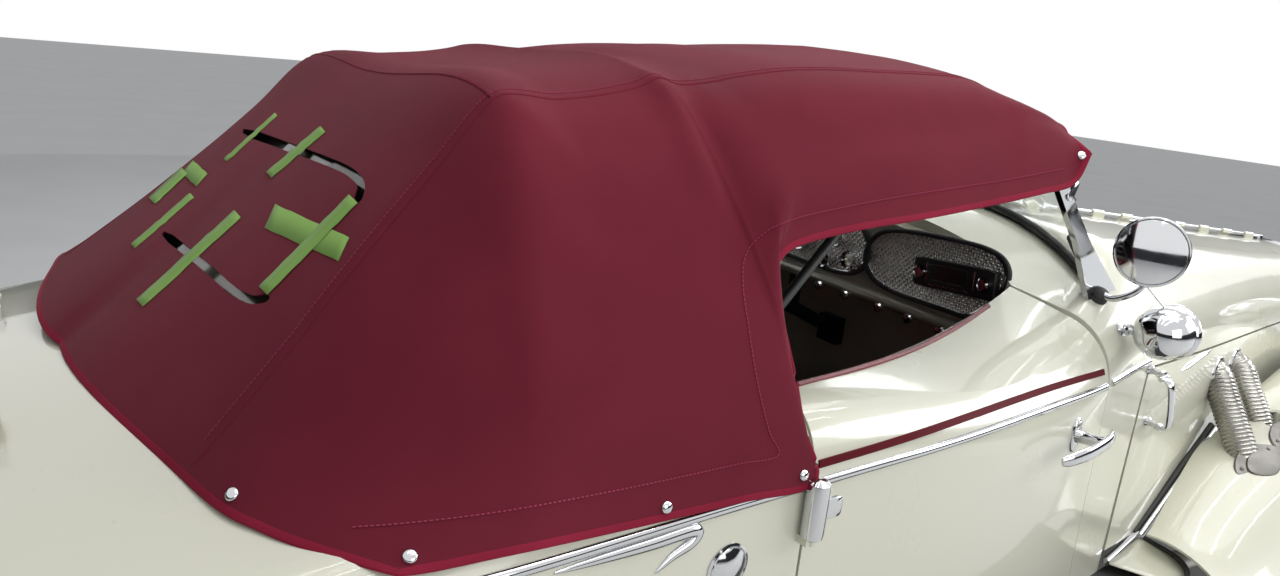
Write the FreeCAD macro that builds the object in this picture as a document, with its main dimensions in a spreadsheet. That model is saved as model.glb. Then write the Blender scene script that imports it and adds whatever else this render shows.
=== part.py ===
import FreeCAD, Part
import math
import os

V = FreeCAD.Vector
doc = FreeCAD.newDocument("Convertible")

# Driving sizes in millimetres and degrees: name, value.
# Frame: +Z up, the car faces -Y, its right side is -X, the ground is Z = 0.
SIZES = (
    ("wheelbase", 3226),
    ("front_overhang", 752),
    ("rear_overhang", 962),
    ("track_width", 1460),
    ("tyre_radius", 360),
    ("tyre_width", 184),
    ("rim_radius", 224),
    ("rim_width", 150),
    ("hub_radius", 60),
    ("hub_cap_radius", 84),
    ("stub_radius", 20),
    ("stub_reach", 29),
    ("kingpin_inset", 104),
    ("kingpin_radius", 12),
    ("fit_clearance", 0.3),
    ("running_clearance", 0.05),
    ("body_half_width", 800),
    ("belt_height", 910),
    ("sill_bottom", 400),
    ("sill_top", 449),
    ("panel_gap", 6),
    ("cabin_wall", 60),
    ("cowl_wall", 25),
    ("sheet_wall", 12),
    ("door_length", 915),
    ("door_rear_from_axle", 808),
    ("door_hinge_stand_off", 18),
    ("firewall_thickness", 12),
    ("floor_thickness", 12),
    ("rail_bottom", 400),
    ("rail_height", 100),
    ("rail_width", 60),
    ("rail_spacing", 800),
    ("kick_rise", 160),
    ("kick_half_length", 450),
    ("axle_tube_radius", 38),
    ("spring_width", 56),
    ("spring_thickness", 26),
    ("fender_half_width", 930),
    ("fender_sheet", 5),
    ("arch_radius", 400),
    ("running_board_thickness", 26),
    ("grille_depth", 70),
    ("grille_lip", 26),
    ("grille_bar_pitch", 32),
    ("screen_thickness", 6),
    ("screen_rail_radius", 11),
    ("fabric_thickness", 8),
    ("bow_radius", 9),
    ("steering_wheel_radius", 180),
    ("steering_rim_radius", 12),
    ("steering_offset", 280),
    ("steering_column_radius", 19),
    ("bumper_height", 420),
    ("bumper_blade", 70),
    ("headlamp_radius", 112),
    ("headlamp_spacing", 1010),
    ("lamp_glass_thickness", 6),
    ("exhaust_radius", 26),
    ("exhaust_height", 285),
    ("muffler_radius", 68),
    ("side_pipe_radius", 34),
    ("engine_half_width", 190),
    ("tank_length", 330),
    ("tow_eye_radius", 14),
    ("jack_pad_width", 90),
    ("jack_pad_drop", 18),
)
sheet = doc.addObject("Spreadsheet::Sheet", "Sizes")
for row, (alias, value) in enumerate(SIZES, 1):
    sheet.set(f"A{row}", alias)
    sheet.set(f"B{row}", str(value))
    sheet.setAlias(f"B{row}", alias)
doc.recompute()


class Dim:
    """A length together with the expression on the sheet that gives it."""

    def __init__(self, value, text):
        self.value = value
        self.text = text

    @staticmethod
    def of(other):
        return other if isinstance(other, Dim) else Dim(float(other), f"({float(other)})")

    def __add__(self, other):
        other = Dim.of(other)
        return Dim(self.value + other.value, f"({self.text} + {other.text})")

    def __sub__(self, other):
        other = Dim.of(other)
        return Dim(self.value - other.value, f"({self.text} - {other.text})")

    def __mul__(self, other):
        other = Dim.of(other)
        return Dim(self.value * other.value, f"({self.text} * {other.text})")

    def __truediv__(self, other):
        other = Dim.of(other)
        return Dim(self.value / other.value, f"({self.text} / {other.text})")

    def __neg__(self):
        return Dim(-self.value, f"(-1 * {self.text})")

    def __radd__(self, other):
        return Dim.of(other) + self

    def __rsub__(self, other):
        return Dim.of(other) - self

    def __rmul__(self, other):
        return Dim.of(other) * self

    def __float__(self):
        return self.value


def dim(alias):
    return Dim(float(sheet.get(alias)), f"Sizes.{alias}")


def size(alias):
    return float(sheet.get(alias))


def bind(obj, prop, length):
    obj.setExpression(prop, Dim.of(length).text)


# Places worked out from the driving sizes
CAR_LENGTH = dim("front_overhang") + dim("wheelbase") + dim("rear_overhang")
NOSE = -CAR_LENGTH / 2
TAIL = CAR_LENGTH / 2
FRONT_AXLE = NOSE + dim("front_overhang")
REAR_AXLE = TAIL - dim("rear_overhang")
DOOR_REAR = REAR_AXLE - dim("door_rear_from_axle")
DOOR_FRONT = DOOR_REAR - dim("door_length")
HUB = dim("tyre_radius")
HALF_TRACK = dim("track_width") / 2
KINGPIN_X = HALF_TRACK - dim("kingpin_inset")
RAIL_X = dim("rail_spacing") / 2
RAIL_HALF = dim("rail_width") / 2
RAIL_LOW = dim("rail_bottom")
RAIL_TOP = RAIL_LOW + dim("rail_height")
KICK_LOW = RAIL_LOW + dim("kick_rise")
KICK_TOP = RAIL_TOP + dim("kick_rise")
STUB_END = HALF_TRACK + dim("stub_reach")

FRONT_AXLE_Y = FRONT_AXLE.value
REAR_AXLE_Y = REAR_AXLE.value
DOOR_REAR_Y = DOOR_REAR.value
DOOR_FRONT_Y = DOOR_FRONT.value
HOOD_REAR_Y = DOOR_FRONT_Y - 185
HOOD_FRONT_Y = FRONT_AXLE_Y - 432
BELT_Z = size("belt_height")
HALF_WIDTH = size("body_half_width")
GAP = size("panel_gap")
WALL = size("cabin_wall")
SHEET = size("sheet_wall")
FIT = size("fit_clearance")
SILL_TOP = size("sill_top")
FLOOR_Z = RAIL_TOP.value
REAR_FLOOR_Z = KICK_TOP.value
FLOOR = size("floor_thickness")
FAR = 3000
SIDES = ((-1, "right"), (1, "left"))
ENDS = (("front", FRONT_AXLE), ("rear", REAR_AXLE))

nodes = []


# Shapes

def box(x0, x1, y0, y1, z0, z1):
    corner = V(min(x0, x1), min(y0, y1), min(z0, z1))
    return Part.makeBox(abs(x1 - x0), abs(y1 - y0), abs(z1 - z0), corner)


def rod(start, end, radius):
    direction = end - start
    return Part.makeCylinder(radius, direction.Length, start, direction)


def line(a, b):
    return Part.makeLine(a, b)


def arc(a, b, c):
    return Part.Arc(a, b, c).toShape()


def prism(points, direction):
    wire = Part.makePolygon(list(points) + [points[0]])
    return Part.Face(wire).extrude(direction)


def mirror_x(shape):
    return shape.mirror(V(0, 0, 0), V(1, 0, 0))


def both_sides(shape):
    return Part.makeCompound([shape, mirror_x(shape)])


def side_of(shape, side):
    return shape if side < 0 else mirror_x(shape)


def fuse(shapes):
    first, *others = shapes
    return first.fuse(others).removeSplitter() if others else first


def solids(shape):
    return Part.makeCompound(shape.Solids)


def reached(start, end, shape):
    # The first point of a solid on the way from start to end
    inside = line(start, end).common(shape)
    return min((vertex.Point for vertex in inside.Vertexes), key=lambda p: (p - start).Length)


def bent_tube(points, radius, bend):
    # A round tube along straight runs with an arc of the given bend radius at each corner
    edges = []
    last = points[0]
    for before, corner, after in zip(points, points[1:], points[2:]):
        back = (before - corner).normalize()
        ahead = (after - corner).normalize()
        half_turn = (math.pi - back.getAngle(ahead)) / 2
        reach = bend * math.tan(half_turn)
        bisector = (back + ahead).normalize()
        middle = corner + bisector * (bend / math.cos(half_turn) - bend)
        start = corner + back * reach
        end = corner + ahead * reach
        edges += [line(last, start), arc(start, middle, end)]
        last = end
    edges.append(line(last, points[-1]))
    path = Part.Wire(edges)
    ring = Part.Wire([Part.makeCircle(radius, points[0], points[1] - points[0])])
    return path.makePipeShell([ring], True, False)


# Document objects

def feature(label, shape):
    obj = doc.addObject("Part::Feature", label)
    obj.Label = label
    obj.Shape = shape
    obj.Placement = FreeCAD.Placement()
    nodes.append(obj)
    return obj


def place(obj, x, y, z, rotation=None):
    if rotation:
        obj.Placement = FreeCAD.Placement(V(0, 0, 0), rotation)
    for axis, length in zip("xyz", (x, y, z)):
        bind(obj, f"Placement.Base.{axis}", length)
    return obj


def cylinder(name, radius, height, x, y, z, axis):
    obj = doc.addObject("Part::Cylinder", name)
    bind(obj, "Radius", radius)
    bind(obj, "Height", height)
    return place(obj, x, y, z, FreeCAD.Rotation(V(0, 0, 1), axis))


def block(name, x, y, z, dx, dy, dz):
    obj = doc.addObject("Part::Box", name)
    bind(obj, "Length", dx)
    bind(obj, "Width", dy)
    bind(obj, "Height", dz)
    return place(obj, x, y, z)


def united(label, members, keep=True):
    obj = doc.addObject("Part::MultiFuse", label)
    obj.Shapes = members
    obj.Refine = True
    obj.Label = label
    if keep:
        nodes.append(obj)
    return obj


def minus(label, base, tool, keep=True):
    obj = doc.addObject("Part::Cut", label)
    obj.Base = base
    obj.Tool = tool
    obj.Label = label
    if keep:
        nodes.append(obj)
    return obj


def turned_body(label, profile, x, y, z, outward):
    # A ring turned about the wheel's axis; the profile runs outward and away from the axis
    import Sketcher
    body = doc.addObject("PartDesign::Body", label)
    body.Label = label
    plane = next(o for o in body.Origin.OriginFeatures if o.Role == "XZ_Plane")
    sketch = body.newObject("Sketcher::SketchObject", f"{label}_profile")
    sketch.AttachmentSupport = [(plane, "")]
    sketch.MapMode = "FlatFace"
    count = len(profile)
    for (u0, v0), (u1, v1) in zip(profile, profile[1:] + profile[:1]):
        ends = [V(outward * float(u), float(v), 0) for u, v in ((u0, v0), (u1, v1))]
        sketch.addGeometry(Part.LineSegment(*ends), False)
    for index in range(count):
        sketch.addConstraint(Sketcher.Constraint("Coincident", index, 2, (index + 1) % count, 1))
    for index, (u, v) in enumerate(profile):
        for kind, length in (("DistanceX", outward * Dim.of(u)), ("DistanceY", Dim.of(v))):
            number = sketch.addConstraint(Sketcher.Constraint(kind, -1, 1, index, 1, length.value))
            sketch.setExpression(f"Constraints[{number}]", length.text)
    turn = body.newObject("PartDesign::Revolution", f"{label}_turn")
    turn.Profile = sketch
    turn.ReferenceAxis = (sketch, ["H_Axis"])
    turn.Angle = 360
    body.Tip = turn
    place(body, x, y, z)
    nodes.append(body)
    return body


# Body surface: sections across the car of a flat side, a shoulder arc and a crown arc.
# Columns: along Y from the door's rear edge, narrowing of each side from body_half_width,
# shoulder radius, crown rise above the belt, crown radius, outward flare at the foot, foot Z.
CABIN_SECTIONS = (
    (-1200, 195, 236, 316, 3600, 14, 400),
    (-1080, 176, 240, 326, 3600, 12, 400),
    (-820, 118, 185, 285, 1250, 8, 400),
    (-36, 63, 105, 175, 4000, 4, 400),
    (400, 25, 100, 140, 4000, 0, 400),
    (700, 0, 95, 105, 4000, 0, 400),
    (1050, 25, 120, 55, 3500, -10, 400),
    (1350, 100, 150, -5, 3000, -20, 420),
    (1580, 205, 150, -110, 2500, -25, 450),
    (1690, 320, 110, -215, 2000, -25, 480),
)
NOSE_SECTIONS = (
    (HOOD_FRONT_Y - DOOR_REAR_Y, 500, 160, 171, 700, 0, FLOOR_Z),
    (-1950, 340, 200, 250, 1800, 0, FLOOR_Z),
    (-1200, 195, 236, 316, 3600, 14, FLOOR_Z),
    (-1080, 176, 240, 326, 3600, 12, FLOOR_Z),
)
SLOPE = (NOSE_SECTIONS[3][3] - NOSE_SECTIONS[0][3]) / (NOSE_SECTIONS[3][0] - NOSE_SECTIONS[0][0])


def section(row, inset, foot_drop=0.0, end_shift=0.0):
    along, narrow, shoulder_r, rise, crown_r, flare, foot_z = row
    y = DOOR_REAR_Y + along + end_shift
    half = HALF_WIDTH - narrow - inset
    foot_half = half + flare
    small = shoulder_r - inset
    large = crown_r - inset
    top = BELT_Z + rise - inset
    reach = large - small
    centre_x = half - small
    crown_centre = top - large
    centre_z = crown_centre + math.sqrt(reach ** 2 - centre_x ** 2)
    joint_x = centre_x * large / reach
    joint_z = crown_centre + (centre_z - crown_centre) * large / reach
    angle = 0.5 * math.atan2(joint_z - centre_z, joint_x - centre_x)
    mid_x = centre_x + small * math.cos(angle)
    mid_z = centre_z + small * math.sin(angle)
    foot = foot_z - foot_drop
    corners = [V(-foot_half, y, foot), V(-half, y, centre_z), V(-joint_x, y, joint_z)]
    ends = [V(joint_x, y, joint_z), V(half, y, centre_z), V(foot_half, y, foot)]
    return Part.Wire([
        line(corners[0], corners[1]),
        arc(corners[1], V(-mid_x, y, mid_z), corners[2]),
        arc(corners[2], V(0, y, top), ends[0]),
        arc(ends[0], V(mid_x, y, mid_z), ends[1]),
        line(ends[1], ends[2]),
        line(ends[2], corners[0]),
    ])


def body_loft(rows, inset=0.0, foot_drop=0.0, end_trim=0.0):
    wires = [section(row, inset, foot_drop) for row in rows[:-1]]
    wires.append(section(rows[-1], inset, foot_drop, -end_trim))
    return Part.makeLoft(wires, True, False)


FOOT_DROP = 60
CABIN_OUTER = body_loft(CABIN_SECTIONS)
CABIN_INNER = body_loft(CABIN_SECTIONS, WALL, FOOT_DROP, WALL)
CABIN_LINING = body_loft(CABIN_SECTIONS, WALL + FIT, FOOT_DROP, WALL + FIT)
COWL_ROWS = CABIN_SECTIONS[:5]
COWL_OUTER = body_loft(COWL_ROWS)
COWL_INNER = body_loft(COWL_ROWS, size("cowl_wall"), FOOT_DROP)
CABIN_SHELL = CABIN_OUTER.cut(CABIN_INNER)
NOSE_OUTER = body_loft(NOSE_SECTIONS)
NOSE_SHELL = NOSE_OUTER.cut(body_loft(NOSE_SECTIONS, SHEET, FOOT_DROP))


def slab(y, thickness):
    # A sheet of space across the car, square to the hood's sloping hinge line
    low = V(-1500, y, 0)
    high = V(-1500, y - 2000 * SLOPE, 2000)
    deep = V(0, thickness, 0)
    return prism([low, high, high + deep, low + deep], V(FAR, 0, 0))


HOOD_PLANE_Y = HOOD_REAR_Y + SILL_TOP * SLOPE
BEHIND_HOOD = slab(HOOD_PLANE_Y, FAR)
HOOD_ZONE = slab(HOOD_PLANE_Y - GAP - FAR, FAR)

# Door gap at the front: a slanting upright plane through the cockpit's front corner
DOOR_SLANT = math.radians(24)
COCKPIT_FRONT_X = 444
COCKPIT_FRONT_Y = DOOR_FRONT_Y + 93


def slanted(x, offset):
    along = (x - COCKPIT_FRONT_X) * math.tan(DOOR_SLANT)
    return V(-x, COCKPIT_FRONT_Y - along + offset, 0)


def behind_slant(offset):
    front = [slanted(0, offset), slanted(1200, offset)]
    back = [V(-1200, DOOR_REAR_Y + FAR, 0), V(0, DOOR_REAR_Y + FAR, 0)]
    return prism(front + back, V(0, 0, 2000))


# Cockpit opening in plan, behind the door: Y from the door's rear edge and half width
COCKPIT_EDGE = ((-36, 634), (330, 668), (560, 640), (680, 540), (730, 350))
DASH_EDGE_Y = COCKPIT_FRONT_Y - 46


def cockpit_cutter():
    front = [V(0, DASH_EDGE_Y, 0), V(-330, DASH_EDGE_Y + 6, 0), V(-COCKPIT_FRONT_X, COCKPIT_FRONT_Y, 0)]
    rear = [V(-half, DOOR_REAR_Y + along, 0) for along, half in COCKPIT_EDGE]
    rear.append(V(0, DOOR_REAR_Y + COCKPIT_EDGE[-1][0], 0))
    half = prism(front + rear, V(0, 0, 900))
    half.translate(V(0, 0, BELT_Z - 160))
    return half.fuse(mirror_x(half))


COCKPIT = cockpit_cutter()
ABOVE_SILL = box(-1500, 1500, -FAR, FAR, SILL_TOP, 2000)

# Boot lid: half width, front and rear edge from the rear axle
BOOT_HALF = 420
BOOT_FRONT_Y = REAR_AXLE_Y + 252
BOOT_REAR_Y = REAR_AXLE_Y + 800


def boot_prism(grow):
    # The rear face leans so that the lid's edge swings clear of the opening
    x = -BOOT_HALF - grow
    front, rear = BOOT_FRONT_Y - grow, BOOT_REAR_Y + grow
    outline = [V(x, front, 1200), V(x, front, 560), V(x, rear - 80, 560), V(x, rear + 145, 1200)]
    return prism(outline, V(-2 * x, 0, 0))


def wheel_arch(side, radius, inner_x):
    return rod(V(side * inner_x, REAR_AXLE_Y, HUB.value), V(side * 1200, REAR_AXLE_Y, HUB.value), radius)


def make_cowl():
    shell = COWL_OUTER.cut(COWL_INNER).common(BEHIND_HOOD).common(ABOVE_SILL)
    shell = shell.cut(both_sides(behind_slant(0)).Solids).cut(COCKPIT)
    wall_y = HOOD_PLANE_Y + 6
    wall_end = wall_y + size("firewall_thickness")
    wall = COWL_INNER.common(box(-1200, 1200, wall_y, wall_end, FLOOR_Z, 1400))
    feature("cowl", fuse([shell, wall]))


HINGE_X = -(HALF_WIDTH - 60) - size("door_hinge_stand_off")
HINGE_HEIGHTS = (BELT_Z - 80, BELT_Z - 340)


def make_doors():
    zone = behind_slant(GAP).common(box(-1200, 0, -FAR, DOOR_REAR_Y - GAP / 2, SILL_TOP + GAP, 2000))
    door = CABIN_SHELL.common(zone).cut(COCKPIT)
    knuckles = []
    for z in HINGE_HEIGHTS:
        knuckles.append(rod(V(HINGE_X, DOOR_REAR_Y, z), V(HINGE_X, DOOR_REAR_Y, z + 80), 8))
        knuckles.append(box(HINGE_X - 2, HINGE_X + 40, DOOR_REAR_Y - 30, DOOR_REAR_Y - 4, z + 4, z + 76))
    door = fuse([door] + knuckles)
    for side, name in SIDES:
        feature(f"door_{name}", side_of(door, side))


def make_tub():
    ahead = box(-1500, 1500, -FAR, HOOD_REAR_Y, 0, 2000)
    door_space = box(-1500, 1500, HOOD_REAR_Y - 1, DOOR_REAR_Y + GAP / 2, SILL_TOP, 2000)
    arches = [wheel_arch(side, size("arch_radius"), 500) for side, _ in SIDES]
    tub = CABIN_SHELL.cut([ahead, door_space, COCKPIT, boot_prism(0)] + arches)
    wall_x = abs(reached(V(-1200, DOOR_REAR_Y + 7, BELT_Z - 200), V(0, DOOR_REAR_Y + 7, BELT_Z - 200), CABIN_OUTER).x)
    lugs = []
    for side, _ in SIDES:
        x = side * abs(HINGE_X)
        for z in HINGE_HEIGHTS:
            for low, high in ((z - 14, z - 0.5), (z + 80.5, z + 94)):
                ring = rod(V(x, DOOR_REAR_Y, low), V(x, DOOR_REAR_Y, high), 8)
                strap = box(x - side * 1, x + side * 5, DOOR_REAR_Y, DOOR_REAR_Y + 14, low, high)
                foot = box(side * (wall_x - 12), x + side * 5, DOOR_REAR_Y + 8, DOOR_REAR_Y + 14, low, high)
                lugs.append(fuse([ring, strap, foot]))
    feature("body_tub", tub.fuse(lugs))


# Boot hinges: one on each side of the centre line, just above the skin
BOOT_HINGE = V(280, BOOT_FRONT_Y, BELT_Z + 65)


def make_boot_lid():
    lid = CABIN_OUTER.cut(body_loft(CABIN_SECTIONS, 25, FOOT_DROP, 25)).common(boot_prism(-GAP))
    barrels = []
    bores = []
    carriers = []
    for side, _ in SIDES:
        x = side * BOOT_HINGE.x
        y, z = BOOT_HINGE.y, BOOT_HINGE.z
        barrels.append(rod(V(x - 30, y, z), V(x + 30, y, z), 8))
        barrels.append(box(x - 30, x + 30, y + GAP, y + GAP + 10, z - 40, z))
        barrels.append(box(x - 30, x + 30, y, y + GAP + 10, z - 4, z + 4))
        bores.append(rod(V(x - 40, y, z), V(x + 40, y, z), 4 + size("running_clearance")))
        carriers.append(rod(V(x - 46, y, z), V(x + 46, y, z), 4))
        for end in (-1, 1):
            carriers.append(box(x + end * 30.5, x + end * 46, y - 8, y - 1, z - 60, z + 6))
            carriers.append(box(x + end * 30.5, x + end * 46, y - 8, y + 6, z - 6, z + 6))
    feature("boot_lid", fuse([lid] + barrels).cut(bores))
    feature("boot_hinges", fuse(carriers[:5]).cut(CABIN_OUTER).fuse(fuse(carriers[5:]).cut(CABIN_OUTER)))


def above_split():
    # Space above the slanting line where the hood's top meets its side panels
    rear = V(-1500, HOOD_REAR_Y + 200, BELT_Z + 48)
    front = V(-1500, HOOD_FRONT_Y - 200, BELT_Z - 14)
    return prism([rear, front, V(-1500, front.y, 2000), V(-1500, rear.y, 2000)], V(FAR, 0, 0))


PIPE_STATIONS = (HOOD_REAR_Y - 590, HOOD_REAR_Y - 740)
PIPE_EXIT_Z = BELT_Z - 66
PIPE_DROP = ((-680, 60, 690), (-690, 75, 570))


# Hood hinge: a rod above the centre line with turns of both halves around it
HINGE_LIFT = 14
HINGE_STATIONS = 10


def hood_hinge_point(y, lift=HINGE_LIFT):
    along, rise = NOSE_SECTIONS[0][0], NOSE_SECTIONS[0][3]
    return V(0, y, BELT_Z + rise + (y - DOOR_REAR_Y - along) * SLOPE + lift)


def make_hood():
    skin = NOSE_SHELL.common(HOOD_ZONE)
    split = above_split()
    top = skin.common(split).common(box(-1200, -GAP / 2, -FAR, FAR, 0, 2000))
    pitch = (HOOD_REAR_Y - HOOD_FRONT_Y - 120) / HINGE_STATIONS
    turns = []
    for index in range(HINGE_STATIONS):
        y = HOOD_FRONT_Y + 30 + index * pitch
        start, end = hood_hinge_point(y), hood_hinge_point(y + 60)
        leaf = prism([start + V(-8, 0, -HINGE_LIFT - 4), start + V(-GAP / 2, 0, -HINGE_LIFT - 4),
                      start + V(-GAP / 2, 0, 0), start + V(-8, 0, 0)], end - start)
        bore = rod(hood_hinge_point(y - 5), hood_hinge_point(y + 65), 4 + size("running_clearance"))
        turns.append(rod(start, end, 8).fuse(leaf).cut(bore))
    for number, (side, name) in enumerate(SIDES):
        feature(f"hood_{name}", side_of(top.fuse(turns[number::2]), side))
    pin = rod(hood_hinge_point(HOOD_FRONT_Y - 50), hood_hinge_point(HOOD_REAR_Y - 50), 4)
    front = hood_hinge_point(HOOD_FRONT_Y - 40)
    rear = hood_hinge_point(HOOD_REAR_Y - 50)
    feet = [box(-5, 5, front.y - 10, front.y + 10, hood_hinge_point(HOOD_FRONT_Y, 0).z, front.z),
            box(-5, 5, rear.y - 8, rear.y + 8, rear.z - 30, rear.z)]
    feature("hood_hinge", fuse([pin] + feet).cut(COWL_OUTER))
    split.translate(V(0, 0, -GAP))
    holes = [rod(V(-900, y, PIPE_EXIT_Z), V(900, y, PIPE_EXIT_Z), size("side_pipe_radius") + 4) for y in PIPE_STATIONS]
    sides = skin.cut([split] + holes)
    inner_x = RAIL_X.value - RAIL_HALF.value
    shelf_zone = [box(side * inner_x, side * 1200, HOOD_FRONT_Y, HOOD_REAR_Y - 2 * GAP, FLOOR_Z, FLOOR_Z + SHEET)
                  for side, _ in SIDES]
    shelves = [NOSE_OUTER.common(zone) for zone in shelf_zone]
    feature("hood_sides", solids(sides.fuse(shelves)))


GRILLE_BARS = 7


def make_grille():
    depth = size("grille_depth")
    lip = size("grille_lip")
    row = NOSE_SECTIONS[0]
    shift = -GAP - depth
    face = Part.Face(section(row, 0, 60, shift))
    hole = Part.Face(section(row, lip, 60 - lip, shift))
    feature("grille_shell", face.cut(hole).extrude(V(0, depth, 0)))
    inner = Part.Face(section(row, lip + FIT, 60 - lip - FIT, shift + 14))
    slot = inner.extrude(V(0, 22, 0))
    pitch = size("grille_bar_pitch")
    bars = [slot.common(box(n * pitch - 5, n * pitch + 5, -FAR, FAR, 0, 2000)) for n in range(-GRILLE_BARS, GRILLE_BARS + 1)]
    mesh = inner.extrude(V(0, 6, 0))
    mesh.translate(V(0, 22, 0))
    feature("grille_bars", fuse(bars + [mesh]))


# Fender sections. Columns: along Y from the axle, then X and Z of the inner edge,
# the crown and the outer lip; X is the distance from the car's centre line.
FRONT_FENDER = (
    (-640, 330, 500, 590, 520, 800, 430),
    (-570, 312, 610, 600, 675, 868, 480),
    (-400, 316, 715, 630, 815, 918, 575),
    (0, 400, 790, 680, 885, 930, 660),
    (418, 480, 745, 705, 800, 928, 560),
    (718, 530, 690, 720, 700, 920, 450),
    (1018, 606, 572, 740, 560, 905, 425),
    (1158, 645, 519, 755, 515, 890, 425),
)
REAR_FENDER = (
    (-508, 783, 500, 812, 520, 870, 430),
    (-330, 790, 690, 858, 668, 906, 480),
    (0, 803, 790, 888, 740, 930, 615),
    (380, 758, 730, 858, 690, 912, 480),
    (640, 664, 590, 780, 575, 850, 440),
    (760, 606, 500, 690, 500, 770, 440),
)
WELT = 4


def arch_wire(row, axle_y, drop, inner_x):
    along, _, inner_z, crown_x, crown_z, lip_x, lip_z = row
    y = axle_y + along
    outer = [V(-inner_x, y, inner_z), V(-crown_x, y, crown_z), V(-lip_x, y, lip_z)]
    inner = [V(-inner_x, y, inner_z - drop), V(-crown_x + drop / 2, y, crown_z - drop), V(-lip_x + drop, y, lip_z)]
    return Part.Wire([
        arc(*outer),
        line(outer[2], inner[2]),
        arc(*reversed(inner)),
        line(inner[0], outer[0]),
    ])


def fender(rows, axle_y):
    wires = [arch_wire(row, axle_y, size("fender_sheet"), row[1]) for row in rows]
    return Part.makeLoft(wires, True, False)


def side_pipe(y, radius):
    skin = reached(V(-1200, y, PIPE_EXIT_Z), V(0, y, PIPE_EXIT_Z), NOSE_OUTER)
    top, bottom = (V(x, y + along, z) for x, along, z in PIPE_DROP)
    start = V(-size("engine_half_width") - FIT, y, PIPE_EXIT_Z)
    return bent_tube([start, V(skin.x - 100, y, PIPE_EXIT_Z), top, bottom], radius, 60)


def make_fenders():
    front = fender(FRONT_FENDER, FRONT_AXLE_Y)
    rail_side = -RAIL_X.value - RAIL_HALF.value
    z = FLOOR_Z - 40
    stays = []
    for along in (-470, 560):
        y = FRONT_AXLE_Y + along
        under = reached(V(-620, y, z), V(-620, y, 1200), front)
        stays.append(rod(V(rail_side, y, z), V(-620, y, z), 13))
        stays.append(rod(V(-620, y, z - 13), under + V(0, 0, 2), 13))
    holes = [side_pipe(y, size("side_pipe_radius") + 5) for y in PIPE_STATIONS]
    feature("front_fenders", both_sides(fuse([front] + stays).cut(holes)))
    rear = fender(REAR_FENDER, REAR_AXLE_Y)
    bolts = []
    for along, z in ((-400, 560), (-200, 750), (200, 755), (560, 600)):
        y = REAR_AXLE_Y + along
        surface = reached(V(-1200, y, z), V(0, y, z), CABIN_OUTER)
        skin = reached(V(-500, y, z), V(-1200, y, z), rear)
        bolts.append(rod(surface + V(6, 0, 0), V(min(skin.x - 2, surface.x - 6), y, z), 7))
    feature("rear_fenders", both_sides(fuse([rear] + bolts).cut(CABIN_OUTER)))


BOARD_TOP = SILL_TOP - 2
BOARD_LOW = BOARD_TOP - size("running_board_thickness")
BOARD_ENDS = (FRONT_AXLE_Y + FRONT_FENDER[-1][0] + 1, REAR_AXLE_Y + REAR_FENDER[0][0] - 1)
ARM_STATIONS = (BOARD_ENDS[0] + 140, sum(BOARD_ENDS) / 2, BOARD_ENDS[1] - 140)
ARM_LOW = RAIL_LOW.value - 28


def make_running_boards():
    front_y, rear_y = BOARD_ENDS
    outer = size("fender_half_width") - 40
    parts = [box(-outer, -HALF_WIDTH + 190, front_y, rear_y, BOARD_LOW, BOARD_TOP)]
    for y in ARM_STATIONS:
        parts.append(box(-RAIL_X.value + 28, -outer + 55, y - 20, y + 20, ARM_LOW, RAIL_LOW.value))
        parts.append(box(-outer + 55, -outer + 75, y - 20, y + 20, ARM_LOW, BOARD_LOW + 2))
    feature("running_boards", both_sides(fuse(parts).cut(CABIN_OUTER)))


FRAME_FRONT_Y = NOSE.value + 130
FRAME_REAR_Y = TAIL.value - 170
TOW_DROP = 20
FRONT_EYE_Y = FRAME_FRONT_Y - 36
REAR_EYE_Y = FRAME_REAR_Y - 160


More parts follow.
